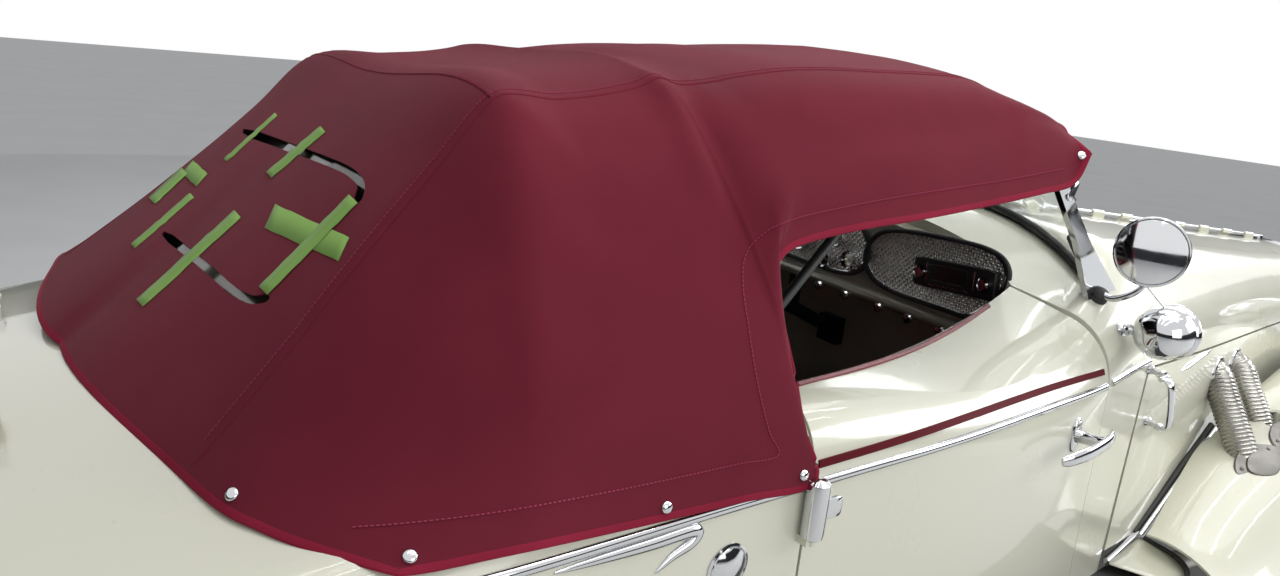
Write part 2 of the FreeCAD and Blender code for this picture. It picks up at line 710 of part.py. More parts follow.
def make_chassis():
    low, top, kick_low, kick_top = (float(z) for z in (RAIL_LOW, RAIL_TOP, KICK_LOW, KICK_TOP))
    x = RAIL_X.value
    half = RAIL_HALF.value
    kick_y = REAR_AXLE_Y - size("kick_half_length")
    ramp_y = kick_y - size("kick_rise")
    front = ((FRAME_FRONT_Y, low), (ramp_y - 30, low), (ramp_y - 30, top), (FRAME_FRONT_Y, top))
    rear = ((ramp_y - 30, low), (ramp_y, low), (kick_y, kick_low), (FRAME_REAR_Y, kick_low),
            (FRAME_REAR_Y, kick_top), (kick_y - 30, kick_top), (ramp_y - 30, top))
    parts = [prism([V(-x - half, y, z) for y, z in front], V(2 * half, 0, 0))]
    rear_parts = [prism([V(-x - half, y, z) for y, z in rear], V(2 * half, 0, 0))]
    pad = size("jack_pad_width")
    for y in (FRONT_AXLE_Y + 700, REAR_AXLE_Y - 760):
        parts.append(box(-x - pad / 2, -x + pad / 2, y - pad / 2, y + pad / 2, low - size("jack_pad_drop"), low))
    eye = low + TOW_DROP
    front_lug = box(-x - 14, -x + 14, FRAME_FRONT_Y - 64, FRAME_FRONT_Y, eye - 30, eye + 34)
    across = rod(V(-x - 30, FRONT_EYE_Y, eye), V(-x + 30, FRONT_EYE_Y, eye), size("tow_eye_radius"))
    parts.append(front_lug.cut(across))
    tongue = box(-x - 30, -x + 30, REAR_EYE_Y - 30, REAR_EYE_Y + 30, eye - 14, eye + 14)
    upright = rod(V(-x, REAR_EYE_Y, eye - 30), V(-x, REAR_EYE_Y, eye + 30), size("tow_eye_radius"))
    rear_parts.append(tongue.cut(upright))
    rear_parts.append(box(-x - 14, -x + 14, REAR_EYE_Y - 54, REAR_EYE_Y - 30, eye - 14, kick_low))
    rail = fuse(parts)
    feature("frame_rail_right", rail)
    feature("frame_rail_left", mirror_x(rail))
    kick = fuse(rear_parts)
    feature("frame_kick_right", kick)
    feature("frame_kick_left", mirror_x(kick))
    inner = x - half
    shell_side = HALF_WIDTH - NOSE_SECTIONS[0][1] + FIT
    shell_y = HOOD_FRONT_Y - GAP - size("grille_depth") / 2
    members = [box(-shell_side, -inner, shell_y - 25, shell_y + 25, low + 50, low + 80)]
    members.append(mirror_x(members[0]))
    for y in (FRAME_FRONT_Y + 20, HOOD_FRONT_Y + 30, DOOR_FRONT_Y + 200, DOOR_REAR_Y + 60):
        members.append(box(-inner, inner, y, y + 70, low + 15, top - 15))
    for y in (REAR_AXLE_Y + 200, FRAME_REAR_Y - 90):
        members.append(box(-inner, inner, y, y + 70, kick_low + 15, kick_top - 15))
    feature("frame_crossmembers", Part.makeCompound(members))


REAR_SEAT_RISER_Y = DOOR_REAR_Y + 166
HOUSE_X = 556


def make_floor():
    start = HOOD_PLANE_Y + 6 + size("firewall_thickness") + FIT
    low_pan = box(-900, 900, start, REAR_SEAT_RISER_Y, FLOOR_Z, FLOOR_Z + FLOOR)
    riser = box(-900, 900, REAR_SEAT_RISER_Y - FLOOR, REAR_SEAT_RISER_Y, FLOOR_Z, REAR_FLOOR_Z + FLOOR)
    high_pan = box(-900, 900, REAR_SEAT_RISER_Y - FLOOR, FAR, REAR_FLOOR_Z, REAR_FLOOR_Z + FLOOR)
    clear = size("arch_radius")
    houses = []
    hollows = []
    for side, _ in SIDES:
        houses.append(wheel_arch(side, clear + 8, HOUSE_X - 8).common(box(-900, 900, 0, FAR, FLOOR_Z, FAR)))
        hollows.append(wheel_arch(side, clear, HOUSE_X))
    pan = fuse([low_pan, riser, high_pan] + houses).cut(hollows)
    pan = pan.common(CABIN_LINING)
    low_edge = box(-900, 900, -FAR, DOOR_REAR_Y + 30, 0, FLOOR_Z + FLOOR + 1)
    narrow = body_loft(CABIN_SECTIONS, WALL + 12, FOOT_DROP)
    pan = fuse([pan.cut(low_edge), pan.common(low_edge).common(narrow)])
    feature("floor_pan", pan)


def make_dashboard():
    zone = box(-1200, 1200, DASH_EDGE_Y - 10, DASH_EDGE_Y + 30, BELT_Z + 58, 1300)
    lining = body_loft(COWL_ROWS, size("cowl_wall") + FIT, FOOT_DROP)
    panel = lining.common(zone).cut(both_sides(behind_slant(-8)).Solids)
    feature("dashboard", panel)


# Wheels and running gear

def make_wheels():
    bore = dim("stub_radius")
    rim = dim("rim_radius")
    half = dim("rim_width") / 2
    reach = dim("stub_reach") + FIT
    cap = dim("hub_cap_radius")
    tyre_half = dim("tyre_width") / 2
    tread = dim("tyre_radius")
    wheel_profile = [
        (-20, bore), (-20, dim("hub_radius")), (reach, dim("hub_radius")), (reach, rim - 10),
        (-half, rim - 10), (-half, rim + 12), (-half + 6, rim + 12), (-half + 6, rim),
        (half - 6, rim), (half - 6, rim + 12), (half, rim + 12), (half, rim - 10),
        (reach + 7, rim - 10), (reach + 7, cap), (reach + 28, cap - 22), (reach + 36, 0),
        (reach, 0), (reach, bore),
    ]
    bead = half - 6 - FIT
    tyre_profile = [
        (-bead, rim + FIT), (-bead, rim + 14), (-tyre_half, rim + 44), (-tyre_half, tread - 56),
        (-tyre_half + 16, tread - 16), (-tyre_half + 42, tread), (tyre_half - 42, tread),
        (tyre_half - 16, tread - 16), (tyre_half, tread - 56), (tyre_half, rim + 44),
        (bead, rim + 14), (bead, rim + FIT),
    ]
    for end, axle in ENDS:
        for side, name in SIDES:
            where = (side * HALF_TRACK, axle, HUB)
            turned_body(f"wheel_{end}_{name}", wheel_profile, *where, side)
            turned_body(f"tyre_{end}_{name}", tyre_profile, *where, side)


def make_knuckles():
    pin = dim("kingpin_radius")
    for side, name in SIDES:
        x = side * KINGPIN_X
        outward = V(side, 0, 0)
        stub = cylinder(f"stub_{name}", dim("stub_radius") - dim("running_clearance"),
                        dim("kingpin_inset") + dim("stub_reach") - 30, x + side * 30, FRONT_AXLE, HUB, outward)
        web = block(f"web_{name}", x + (side * 37 - 10), FRONT_AXLE - 30, HUB - 66, 20, 60, 132)
        lugs = []
        for tag, low in (("lower", -66), ("upper", 26)):
            lugs.append(cylinder(f"lug_{tag}_{name}", pin + 12, 40, x, FRONT_AXLE, HUB + low, V(0, 0, 1)))
            lugs.append(block(f"bridge_{tag}_{name}", x + (side * 20 - 20), FRONT_AXLE - 18, HUB + low, 40, 36, 40))
        arm = block(f"arm_{name}", x - 10, FRONT_AXLE, HUB + 52, 20, 150, 12)
        solid = united(f"knuckle_{name}_solid", [stub, web, arm] + lugs, keep=False)
        bore = cylinder(f"kingpin_bore_{name}", pin, 300, x, FRONT_AXLE, HUB - 150, V(0, 0, 1))
        minus(f"knuckle_{name}", solid, bore)


def make_front_axle():
    pin = dim("kingpin_radius") - dim("running_clearance")
    beam = block("front_beam", -KINGPIN_X + 40, FRONT_AXLE - 28, HUB - 50, KINGPIN_X * 2 - 80, 56, 40)
    members = [beam]
    for side, name in SIDES:
        x = side * KINGPIN_X
        members.append(cylinder(f"eye_{name}", 22, 44, x, FRONT_AXLE, HUB - 22, V(0, 0, 1)))
        members.append(cylinder(f"kingpin_{name}", pin, 140, x, FRONT_AXLE, HUB - 70, V(0, 0, 1)))
        members.append(block(f"yoke_{name}", x - (side * 32 + 32), FRONT_AXLE - 20, HUB - 22, 64, 40, 44))
        half = dim("spring_width") / 2
        rail_x = side * RAIL_X
        leaf = block(f"front_spring_{name}", rail_x - half, FRONT_AXLE - 430, HUB - 10,
                     dim("spring_width"), 860, dim("spring_thickness"))
        members.append(leaf)
        top = HUB - 10 + dim("spring_thickness")
        for tag, along in (("fore", -430), ("aft", 390)):
            members.append(block(f"front_shackle_{tag}_{name}", rail_x - half, FRONT_AXLE + along, top,
                                 dim("spring_width"), 40, RAIL_LOW - top))
    united("front_axle", members)


def make_rear_axle():
    members = [cylinder("axle_tube", dim("axle_tube_radius"), HALF_TRACK * 2 - 120, -HALF_TRACK + 60, REAR_AXLE, HUB, V(1, 0, 0))]
    members.append(cylinder("half_shafts", dim("stub_radius") - dim("running_clearance"),
                            STUB_END * 2, -STUB_END, REAR_AXLE, HUB, V(1, 0, 0)))
    members.append(cylinder("differential", 130, 150, -75, REAR_AXLE, HUB, V(1, 0, 0)))
    engine_end = DOOR_FRONT - 280
    members.append(cylinder("propshaft", 30, REAR_AXLE - 100 - engine_end, 0, engine_end + FIT, HUB + 6, V(0, 1, 0)))
    top = HUB + dim("axle_tube_radius")
    for side, name in SIDES:
        drum_x = side * (HALF_TRACK - 50)
        members.append(cylinder(f"brake_plate_{name}", 140, 20, drum_x - 10, REAR_AXLE, HUB, V(1, 0, 0)))
        half = dim("spring_width") / 2
        rail_x = side * RAIL_X
        members.append(block(f"rear_spring_{name}", rail_x - half, REAR_AXLE - 430, top - 4,
                             dim("spring_width"), 860, dim("spring_thickness")))
        for tag, along in (("fore", -430), ("aft", 390)):
            low = top - 4 + dim("spring_thickness")
            members.append(block(f"rear_shackle_{tag}_{name}", rail_x - half, REAR_AXLE + along, low,
                                 dim("spring_width"), 40, KICK_LOW - low))
    united("rear_axle", members)


def make_engine():
    engine_end = DOOR_FRONT - 280
    parts = [block("engine_block", -dim("engine_half_width"), FRONT_AXLE - 60, 372,
                   dim("engine_half_width") * 2, 820, 500)]
    parts.append(block("gearbox", -120, FRONT_AXLE + 700, 330, 240, engine_end - FRONT_AXLE - 700, 210))
    for along in (60, 560):
        inner = RAIL_X - RAIL_HALF
        parts.append(block(f"engine_mount_{along}", -inner, FRONT_AXLE + along, 425, inner * 2, 60, 50))
    united("engine", parts)
    core = block("radiator_core", -190, FRONT_AXLE - 402, RAIL_TOP - 15, 380, 70, 480)
    nodes.append(core)
    core.Label = "radiator"


def make_exhaust():
    radius = size("exhaust_radius")
    z = size("exhaust_height")
    x = 520
    pieces = []
    start = V(-660, PIPE_STATIONS[0] + 80, z + 130)
    turn = V(-x, PIPE_STATIONS[0] + 300, z)
    tail = V(-x, TAIL.value - 60, z)
    tube = bent_tube([start, turn, tail], radius, 160)
    muffler = rod(V(-x, DOOR_FRONT_Y + 320, z), V(-x, DOOR_REAR_Y - 20, z), size("muffler_radius"))
    hangers = [rod(V(-x, y, z), V(-x, y, ARM_LOW - FIT), 6) for y in ARM_STATIONS]
    feature("exhaust_system", both_sides(fuse([tube, muffler] + hangers)))


def make_tank():
    cross_end = REAR_AXLE + 270
    tank = block("fuel_tank", -RAIL_X + RAIL_HALF + 10, cross_end, KICK_LOW - 170,
                 (RAIL_X - RAIL_HALF - 10) * 2, dim("tank_length"), 220)
    nodes.append(tank)
    tank.Label = "fuel_tank"


# Cabin pieces

def rounded(shape, radius):
    return shape.makeFillet(radius, shape.Edges)


def make_seats():
    seats = []
    for side in (-1, 1):
        x0, x1 = side * 50, side * 540
        y0 = DOOR_FRONT_Y + 330
        base = box(x0 + side * 20, x1 - side * 20, y0 + 30, y0 + 420, FLOOR_Z + FLOOR, FLOOR_Z + 130)
        cushion = rounded(box(x0, x1, y0, y0 + 500, FLOOR_Z + 125, FLOOR_Z + 250), 30)
        back = box(x0, x1, y0 + 430, y0 + 560, FLOOR_Z + 200, FLOOR_Z + 560)
        back = rounded(back, 34)
        back.rotate(V(0, y0 + 430, FLOOR_Z + 220), V(1, 0, 0), -12)
        seats.append(fuse([base, cushion, back]))
    feature("front_seats", Part.makeCompound(seats))
    y0 = REAR_SEAT_RISER_Y + 10
    z0 = REAR_FLOOR_Z + FLOOR
    cushion = rounded(box(-540, 540, y0, y0 + 420, z0, z0 + 120), 28)
    back = rounded(box(-540, 540, y0 + 330, y0 + 430, z0 + 60, z0 + 300), 28)
    feature("rear_seat", fuse([cushion, back]))


COLUMN_TILT = math.radians(24)
WHEEL_CENTRE = V(size("steering_offset"), DOOR_FRONT_Y + 315, BELT_Z + 60)
COLUMN_AXIS = V(0, math.cos(COLUMN_TILT), math.sin(COLUMN_TILT))


def make_steering():
    radius = size("steering_column_radius")
    end = WHEEL_CENTRE - COLUMN_AXIS * 30
    wall_y = HOOD_PLANE_Y + 6 + size("firewall_thickness") + FIT
    length = (end.y - wall_y - 12) / COLUMN_AXIS.y
    tube = rod(end - COLUMN_AXIS * length, end, radius)
    pin = rod(end - COLUMN_AXIS * 10, end + COLUMN_AXIS * 44, 10 - size("running_clearance"))
    flange_y = wall_y
    low = end - COLUMN_AXIS * length
    flange = box(low.x - 40, low.x + 40, flange_y, flange_y + 30, low.z - 40, low.z + 40)
    dash_y = DASH_EDGE_Y + 10
    along = (dash_y - low.y) / COLUMN_AXIS.y
    crossing = low + COLUMN_AXIS * along
    strap = box(low.x - 14, low.x + 14, dash_y - 12, dash_y + 12, crossing.z, BELT_Z + 58 - FIT)
    feature("steering_column", fuse([tube, pin, flange, strap]))
    rim_radius = size("steering_wheel_radius")
    rim = Part.makeTorus(rim_radius, size("steering_rim_radius"), WHEEL_CENTRE, COLUMN_AXIS)
    hub = rod(WHEEL_CENTRE - COLUMN_AXIS * (30 - FIT), WHEEL_CENTRE + COLUMN_AXIS * 26, 34)
    spokes = []
    for degrees in (90, 210, 330):
        turn = FreeCAD.Rotation(COLUMN_AXIS, degrees)
        outward = turn.multVec(V(1, 0, 0))
        spokes.append(rod(WHEEL_CENTRE + outward * 20, WHEEL_CENTRE + outward * rim_radius, 7))
    bore = rod(WHEEL_CENTRE - COLUMN_AXIS * 60, WHEEL_CENTRE + COLUMN_AXIS * 16, 10)
    feature("steering_wheel", fuse([rim, hub] + spokes).cut(bore))


# Windscreen: half width, middle and end Y and Z of the curved base and top lines
SCREEN_BASE = (560, HOOD_REAR_Y, BELT_Z + 326, HOOD_REAR_Y + 138, BELT_Z + 222)
SCREEN_TOP = (590, HOOD_REAR_Y + 355, BELT_Z + 562, HOOD_REAR_Y + 402, BELT_Z + 458)
SCREEN_GASKET = 14


def screen_line(inset, along, lift=0.0):
    half, mid_y, mid_z, end_y, end_z = (a + (b - a) * along for a, b in zip(SCREEN_BASE, SCREEN_TOP))
    return arc(V(-half + inset, end_y, end_z + lift), V(0, mid_y, mid_z + lift), V(half - inset, end_y, end_z + lift))


def screen_sheet(inset, thickness, lift=0.0):
    pane = Part.makeRuledSurface(screen_line(inset, -0.25), screen_line(inset, 1, lift))
    pane.translate(V(0, -thickness / 2, 0))
    return pane.extrude(V(0, thickness, 0))


def make_windscreen():
    radius = size("screen_rail_radius")
    gasket = screen_sheet(0, 2 * radius).common(body_loft(COWL_ROWS, -SCREEN_GASKET)).cut(COWL_OUTER)
    top = screen_line(0, 1)
    ring = Part.Wire([Part.makeCircle(radius, top.valueAt(top.FirstParameter), top.tangentAt(top.FirstParameter))])
    parts = [gasket, Part.Wire([top]).makePipeShell([ring], True, False)]
    for side in (-1, 1):
        foot = V(side * SCREEN_BASE[0], SCREEN_BASE[3], SCREEN_BASE[4])
        head = V(side * SCREEN_TOP[0], SCREEN_TOP[3], SCREEN_TOP[4])
        sections = []
        for point, reach in ((foot - (head - foot) * 0.1, 60), (foot + (head - foot) * 0.45, 24), (head, 18)):
            corners = [point + V(-7, -reach, 0), point + V(7, -reach, 0), point + V(7, reach, 0), point + V(-7, reach, 0)]
            sections.append(Part.makePolygon(corners + corners[:1]))
        parts.append(Part.makeLoft(sections, True, True).cut(COWL_OUTER))
    canopy = quilt([top_row(row, 0) for row in TOP_ROWS], [top_row(row, size("fabric_thickness")) for row in TOP_ROWS])
    feature("windscreen_frame", fuse(parts).cut(canopy))
    glass = screen_sheet(9, size("screen_thickness"), -radius - FIT)
    feature("windscreen_glass", glass.cut(body_loft(COWL_ROWS, -SCREEN_GASKET - FIT)))


# Fabric top: rows from the header to the hem. Each row: Y from the door's rear edge and Z at the
# centre line, then X, Y, Z of the roof seam, of the side, and of the hem or the side's lower edge.
TOP_ROWS = (
    (-752, 1505, 470, -750, 1478, 560, -746, 1432, 622, -742, 1376),
    (-510, 1590, 460, -510, 1545, 572, -505, 1440, 648, -500, 1300),
    (-100, 1580, 458, -100, 1535, 640, -60, 1310, 748, -20, 925),
    (179, 1540, 454, 179, 1489, 690, 150, 1235, 762, 150, 924),
    (478, 1478, 505, 468, 1451, 690, 480, 1180, 783, 520, 935),
    (722, 1225, 512, 660, 1205, 705, 600, 1070, 783, 610, 936),
    (968, 986, 516, 860, 968, 658, 796, 955, 781, 672, 934),
)


def top_row(row, inset):
    mid_y, mid_z, seam_x, seam_y, seam_z, side_x, side_y, side_z, hem_x, hem_y, hem_z = row
    back = inset if mid_y > 500 else 0
    middle = V(0, DOOR_REAR_Y + mid_y - back, mid_z - inset)
    seam = V(-seam_x + inset, DOOR_REAR_Y + seam_y - back, seam_z - inset)
    side = V(-side_x + inset, DOOR_REAR_Y + side_y - back, side_z - inset / 2)
    hem = V(-hem_x + inset, DOOR_REAR_Y + hem_y - back, hem_z)
    half = [hem, side, seam, middle]
    return half + [V(-p.x, p.y, p.z) for p in reversed(half[:-1])]


def face_of(points):
    return Part.Face(Part.makePolygon(points + points[:1]))


def quilt(grid, other):
    # Closed sheet: outer grid, inner grid and the strips along the four edges, in triangles
    faces = []
    for surface in (grid, other):
        for upper, lower in zip(surface, surface[1:]):
            for a, b, c, d in zip(upper, upper[1:], lower[1:], lower):
                faces += [face_of([a, b, c]), face_of([a, c, d])]
    rims = [(grid[0], other[0]), (grid[-1], other[-1])]
    rims += [([row[i] for row in grid], [row[i] for row in other]) for i in (0, -1)]
    for outer, inner in rims:
        for a, b, c, d in zip(outer, outer[1:], inner[1:], inner):
            faces += [face_of([a, b, c]), face_of([a, c, d])]
    shell = Part.Shell(faces)
    solid = Part.Solid(shell)
    if solid.Volume < 0:
        solid.reverse()
    return solid


# Side opening of the top, seen from the side: Y from the door's rear edge and Z
TOP_OPENING = (
    (-800, 1372), (-693, 1372), (-440, 1335), (-281, 1317), (-132, 1302), (-20, 1288), (45, 1270),
    (78, 1244), (84, 1212), (68, 1155), (46, 1073), (6, 920), (6, 850), (-800, 850),
)


def make_top():
    outer = [top_row(row, 0) for row in TOP_ROWS]
    inner = [top_row(row, size("fabric_thickness")) for row in TOP_ROWS]
    opening = prism([V(-1500, DOOR_REAR_Y + y, z) for y, z in TOP_OPENING], V(FAR, 0, 0))
    feature("soft_top", quilt(outer, inner).cut([opening, CABIN_OUTER]))


BOW_ROWS = (1, 3, 4)


def make_top_frame():
    radius = size("bow_radius")
    drop = size("fabric_thickness") + radius + FIT
    pivot = V(-640, DOOR_REAR_Y + 300, BELT_Z - 60)
    wall = reached(V(-1200, pivot.y, pivot.z), V(0, pivot.y, pivot.z), CABIN_INNER)
    parts = []
    for index in BOW_ROWS:
        _, _, seam_x, seam_y, seam_z, *_ = TOP_ROWS[index]
        elbow = V(-seam_x + 20, DOOR_REAR_Y + seam_y, seam_z - drop - 6)
        parts.append(rod(elbow, V(-elbow.x, elbow.y, elbow.z), radius))
        for side, _ in SIDES:
            bend = V(side * abs(elbow.x), elbow.y, elbow.z)
            foot = V(side * abs(pivot.x), pivot.y, pivot.z)
            parts += [rod(bend, foot, radius), Part.makeSphere(radius, bend)]
    for side, _ in SIDES:
        start = V(side * abs(pivot.x), pivot.y, pivot.z)
        parts.append(rod(start, V(side * (abs(wall.x) - 3 * FIT), pivot.y, pivot.z), radius))
    feature("top_frame", fuse(parts))


def make_rear_window():
    # A flexible clear pane against the inside of the curtain
    near = size("fabric_thickness") + FIT
    sheet_of = [[top_row(row, depth) for row in TOP_ROWS[3:]] for depth in (near, near + 4)]
    zone = box(-400, 400, DOOR_REAR_Y + 480, DOOR_REAR_Y + 960, 1125, 1335)
    feature("rear_window", quilt(*sheet_of).common(zone))


# Lamps, mirrors and bumpers

def make_lamps():
    radius = size("headlamp_radius")
    x = -size("headlamp_spacing") / 2
    y = HOOD_FRONT_Y - 30
    z = BELT_Z + 30
    fender_skin = fender(FRONT_FENDER, FRONT_AXLE_Y)
    bowl = rod(V(x, y - 60, z), V(x, y + 20, z), radius)
    half = box(x - 200, x + 200, y + 20, y + 200, z - 200, z + 200)
    back = Part.makeSphere(radius, V(x, y + 20, z)).common(half)
    seat = reached(V(x, y + 10, z), V(x, y + 10, 300), fender_skin)
    stem = rod(V(x, y + 10, z - 20), seat - V(0, 0, 20), 16).cut(fender_skin)
    stem = max(stem.Solids, key=lambda piece: piece.BoundBox.ZMax)
    feature("headlamps", both_sides(fuse([bowl, back, stem])))
    front = y - 60 - FIT
    glass = rod(V(x, front - size("lamp_glass_thickness"), z), V(x, front, z), radius - 8)
    feature("headlamp_glass", both_sides(glass))
    centre = V(-700, HOOD_REAR_Y + 100, BELT_Z + 160)
    shell = rod(centre - V(0, 44, 0), centre, 56)
    rear_half = box(centre.x - 100, centre.x + 100, centre.y, centre.y + 100, centre.z - 100, centre.z + 100)
    dome = Part.makeSphere(56, centre).common(rear_half)
    base = reached(V(-1200, HOOD_REAR_Y + 124, BELT_Z + 143), V(0, HOOD_REAR_Y + 124, BELT_Z + 143), COWL_OUTER)
    arm = rod(centre, base + V(8, 0, -4), 9).cut(COWL_OUTER)
    feature("cowl_lamps", both_sides(fuse([shell, dome, arm])))
    head_centre = V(-660, HOOD_REAR_Y + 143, BELT_Z + 327)
    facing = V(0.25, 1, 0.1).normalize()
    head = rod(head_centre - facing * 14, head_centre + facing * 6, 72)
    base = reached(V(-1200, HOOD_REAR_Y + 112, BELT_Z + 172), V(0, HOOD_REAR_Y + 112, BELT_Z + 172), COWL_OUTER)
    stalk = rod(head_centre - facing * 10, base + V(6, 0, -8), 7).cut(COWL_OUTER)
    feature("mirrors", both_sides(fuse([head, stalk])))
    tail_y = REAR_AXLE_Y + 600
    tail_x = 800
    rear_skin = fender(REAR_FENDER, REAR_AXLE_Y)
    seat = reached(V(-tail_x, tail_y, 900), V(-tail_x, tail_y, 300), rear_skin)
    lamp = rod(V(-tail_x, tail_y - 36, seat.z + 78), V(-tail_x, tail_y + 50, seat.z + 78), 38)
    foot = rod(seat - V(0, 0, 10), V(-tail_x, tail_y, seat.z + 60), 12).cut(rear_skin)
    feature("tail_lamps", both_sides(fuse([lamp, max(foot.Solids, key=lambda piece: piece.BoundBox.ZMax)])))


BUMPER_HALF = 880
BUMPER_SWEEP = 60


def make_bumpers():
    z = size("bumper_height")
    blade = size("bumper_blade")
    bars = []
    for y, away in ((NOSE.value, -1), (TAIL.value, 1)):
        outer = [V(-BUMPER_HALF, y - away * BUMPER_SWEEP, z), V(0, y, z), V(BUMPER_HALF, y - away * BUMPER_SWEEP, z)]
        inner = [p - V(0, away * 14, 0) for p in outer]
        wire = Part.Wire([arc(*outer), line(outer[2], inner[2]), arc(*reversed(inner)), line(inner[0], outer[0])])
        bars.append([Part.Face(wire).extrude(V(0, 0, blade))])
    x = RAIL_X.value
    drop_y = FRAME_REAR_Y - 110
    for side, _ in SIDES:
        bars[0].append(box(side * 300, side * 330, NOSE.value + 18, FRAME_FRONT_Y + 20, z + 20, z + 50))
        bars[1].append(box(side * (x - 15), side * (x + 15), drop_y, TAIL.value - 20, z + 5, z + 30))
        bars[1].append(box(side * (x - 15), side * (x + 15), drop_y, drop_y + 50, z + 5, KICK_LOW.value))
    feature("bumpers", Part.makeCompound([fuse(pieces) for pieces in bars]))


def make_side_pipes():
    pipes = [side_pipe(y, size("side_pipe_radius")) for y in PIPE_STATIONS]
    feature("side_pipes", both_sides(Part.makeCompound(pipes)))


make_cowl()
make_doors()
make_tub()
make_boot_lid()
make_hood()
make_grille()
make_fenders()
make_running_boards()
make_chassis()
make_floor()
make_dashboard()
make_wheels()
make_knuckles()
make_front_axle()
make_rear_axle()
make_engine()
make_exhaust()
make_tank()
make_seats()
make_steering()
make_windscreen()
make_top()
make_top_frame()
make_rear_window()
make_lamps()
make_bumpers()
make_side_pipes()

doc.recompute()
for obj in doc.Objects:
    assert not {"Invalid", "Error"} & set(obj.State), obj.Label
for obj in nodes:
    assert not obj.Shape.isNull() and obj.Shape.isValid(), obj.Label
os.makedirs("parts", exist_ok=True)
for obj in nodes:
    print(obj.Label, len(obj.Shape.Solids), "solids", round(obj.Shape.Volume / 1e6, 2), "litres")
    obj.Shape.exportStep(f"parts/{obj.Label}.step")
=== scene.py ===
"""Looks of a 1930s style two-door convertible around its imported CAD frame. Metres, +Z up, nose to -Y."""
import math

import bmesh
import bpy
from mathutils import Matrix, Vector, noise
from mathutils.bvhtree import BVHTree


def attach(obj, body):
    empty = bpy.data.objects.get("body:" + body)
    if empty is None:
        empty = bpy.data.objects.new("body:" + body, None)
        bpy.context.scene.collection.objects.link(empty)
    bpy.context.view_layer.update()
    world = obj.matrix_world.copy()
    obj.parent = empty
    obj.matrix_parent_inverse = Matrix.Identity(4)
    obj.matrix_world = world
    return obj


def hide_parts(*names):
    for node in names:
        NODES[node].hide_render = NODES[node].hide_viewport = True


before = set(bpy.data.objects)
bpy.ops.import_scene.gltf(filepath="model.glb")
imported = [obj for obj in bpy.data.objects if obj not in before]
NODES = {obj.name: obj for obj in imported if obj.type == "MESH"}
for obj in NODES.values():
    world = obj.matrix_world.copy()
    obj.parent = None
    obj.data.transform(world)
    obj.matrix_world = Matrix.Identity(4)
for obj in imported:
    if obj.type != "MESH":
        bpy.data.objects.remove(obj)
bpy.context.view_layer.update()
SIDES = (("right", -1), ("left", 1))
X, Y, Z = (Vector(axis) for axis in ((1, 0, 0), (0, 1, 0), (0, 0, 1)))


def mirror(vector):
    return Vector((-vector.x, vector.y, vector.z))


def put(name, mesh):
    """A new object of the mesh in the scene."""
    obj = bpy.data.objects.new(name, mesh)
    bpy.context.collection.objects.link(obj)
    return obj


# Camera: the photograph's station, in degrees and photograph pixels
IMAGE_WIDTH, IMAGE_HEIGHT = 1280, 576
SENSOR_WIDTH = 36
FOCAL_PIXELS = 963.1
CAMERA_AT = Vector((-1.729, 1.716, 1.543))
YAW, PITCH, ROLL = math.radians(-33.70), math.radians(14.08), math.radians(6.04)


def camera_axes():
    ahead = Vector((math.cos(PITCH) * math.cos(YAW), math.cos(PITCH) * math.sin(YAW), -math.sin(PITCH)))
    level = ahead.cross(Z).normalized()
    upright = level.cross(ahead)
    right = math.cos(ROLL) * level + math.sin(ROLL) * upright
    up = -math.sin(ROLL) * level + math.cos(ROLL) * upright
    return ahead, right, up


AHEAD, RIGHT, UP = camera_axes()


def photo_ray(pixel):
    x, y = pixel
    return (AHEAD + RIGHT * ((x - IMAGE_WIDTH / 2) / FOCAL_PIXELS) - UP
        * ((y - IMAGE_HEIGHT / 2) / FOCAL_PIXELS)).normalized()


def make_camera():
    data = bpy.data.cameras.new("camera")
    data.sensor_width = SENSOR_WIDTH
    data.lens = SENSOR_WIDTH * FOCAL_PIXELS / IMAGE_WIDTH
    data.clip_start, data.clip_end = 0.02, 200
    camera = put("camera", data)
    axes = Matrix((RIGHT, UP, -AHEAD)).transposed()
    camera.matrix_world = Matrix.Translation(CAMERA_AT) @ axes.to_4x4()
    bpy.context.scene.camera = camera


make_camera()


# Materials

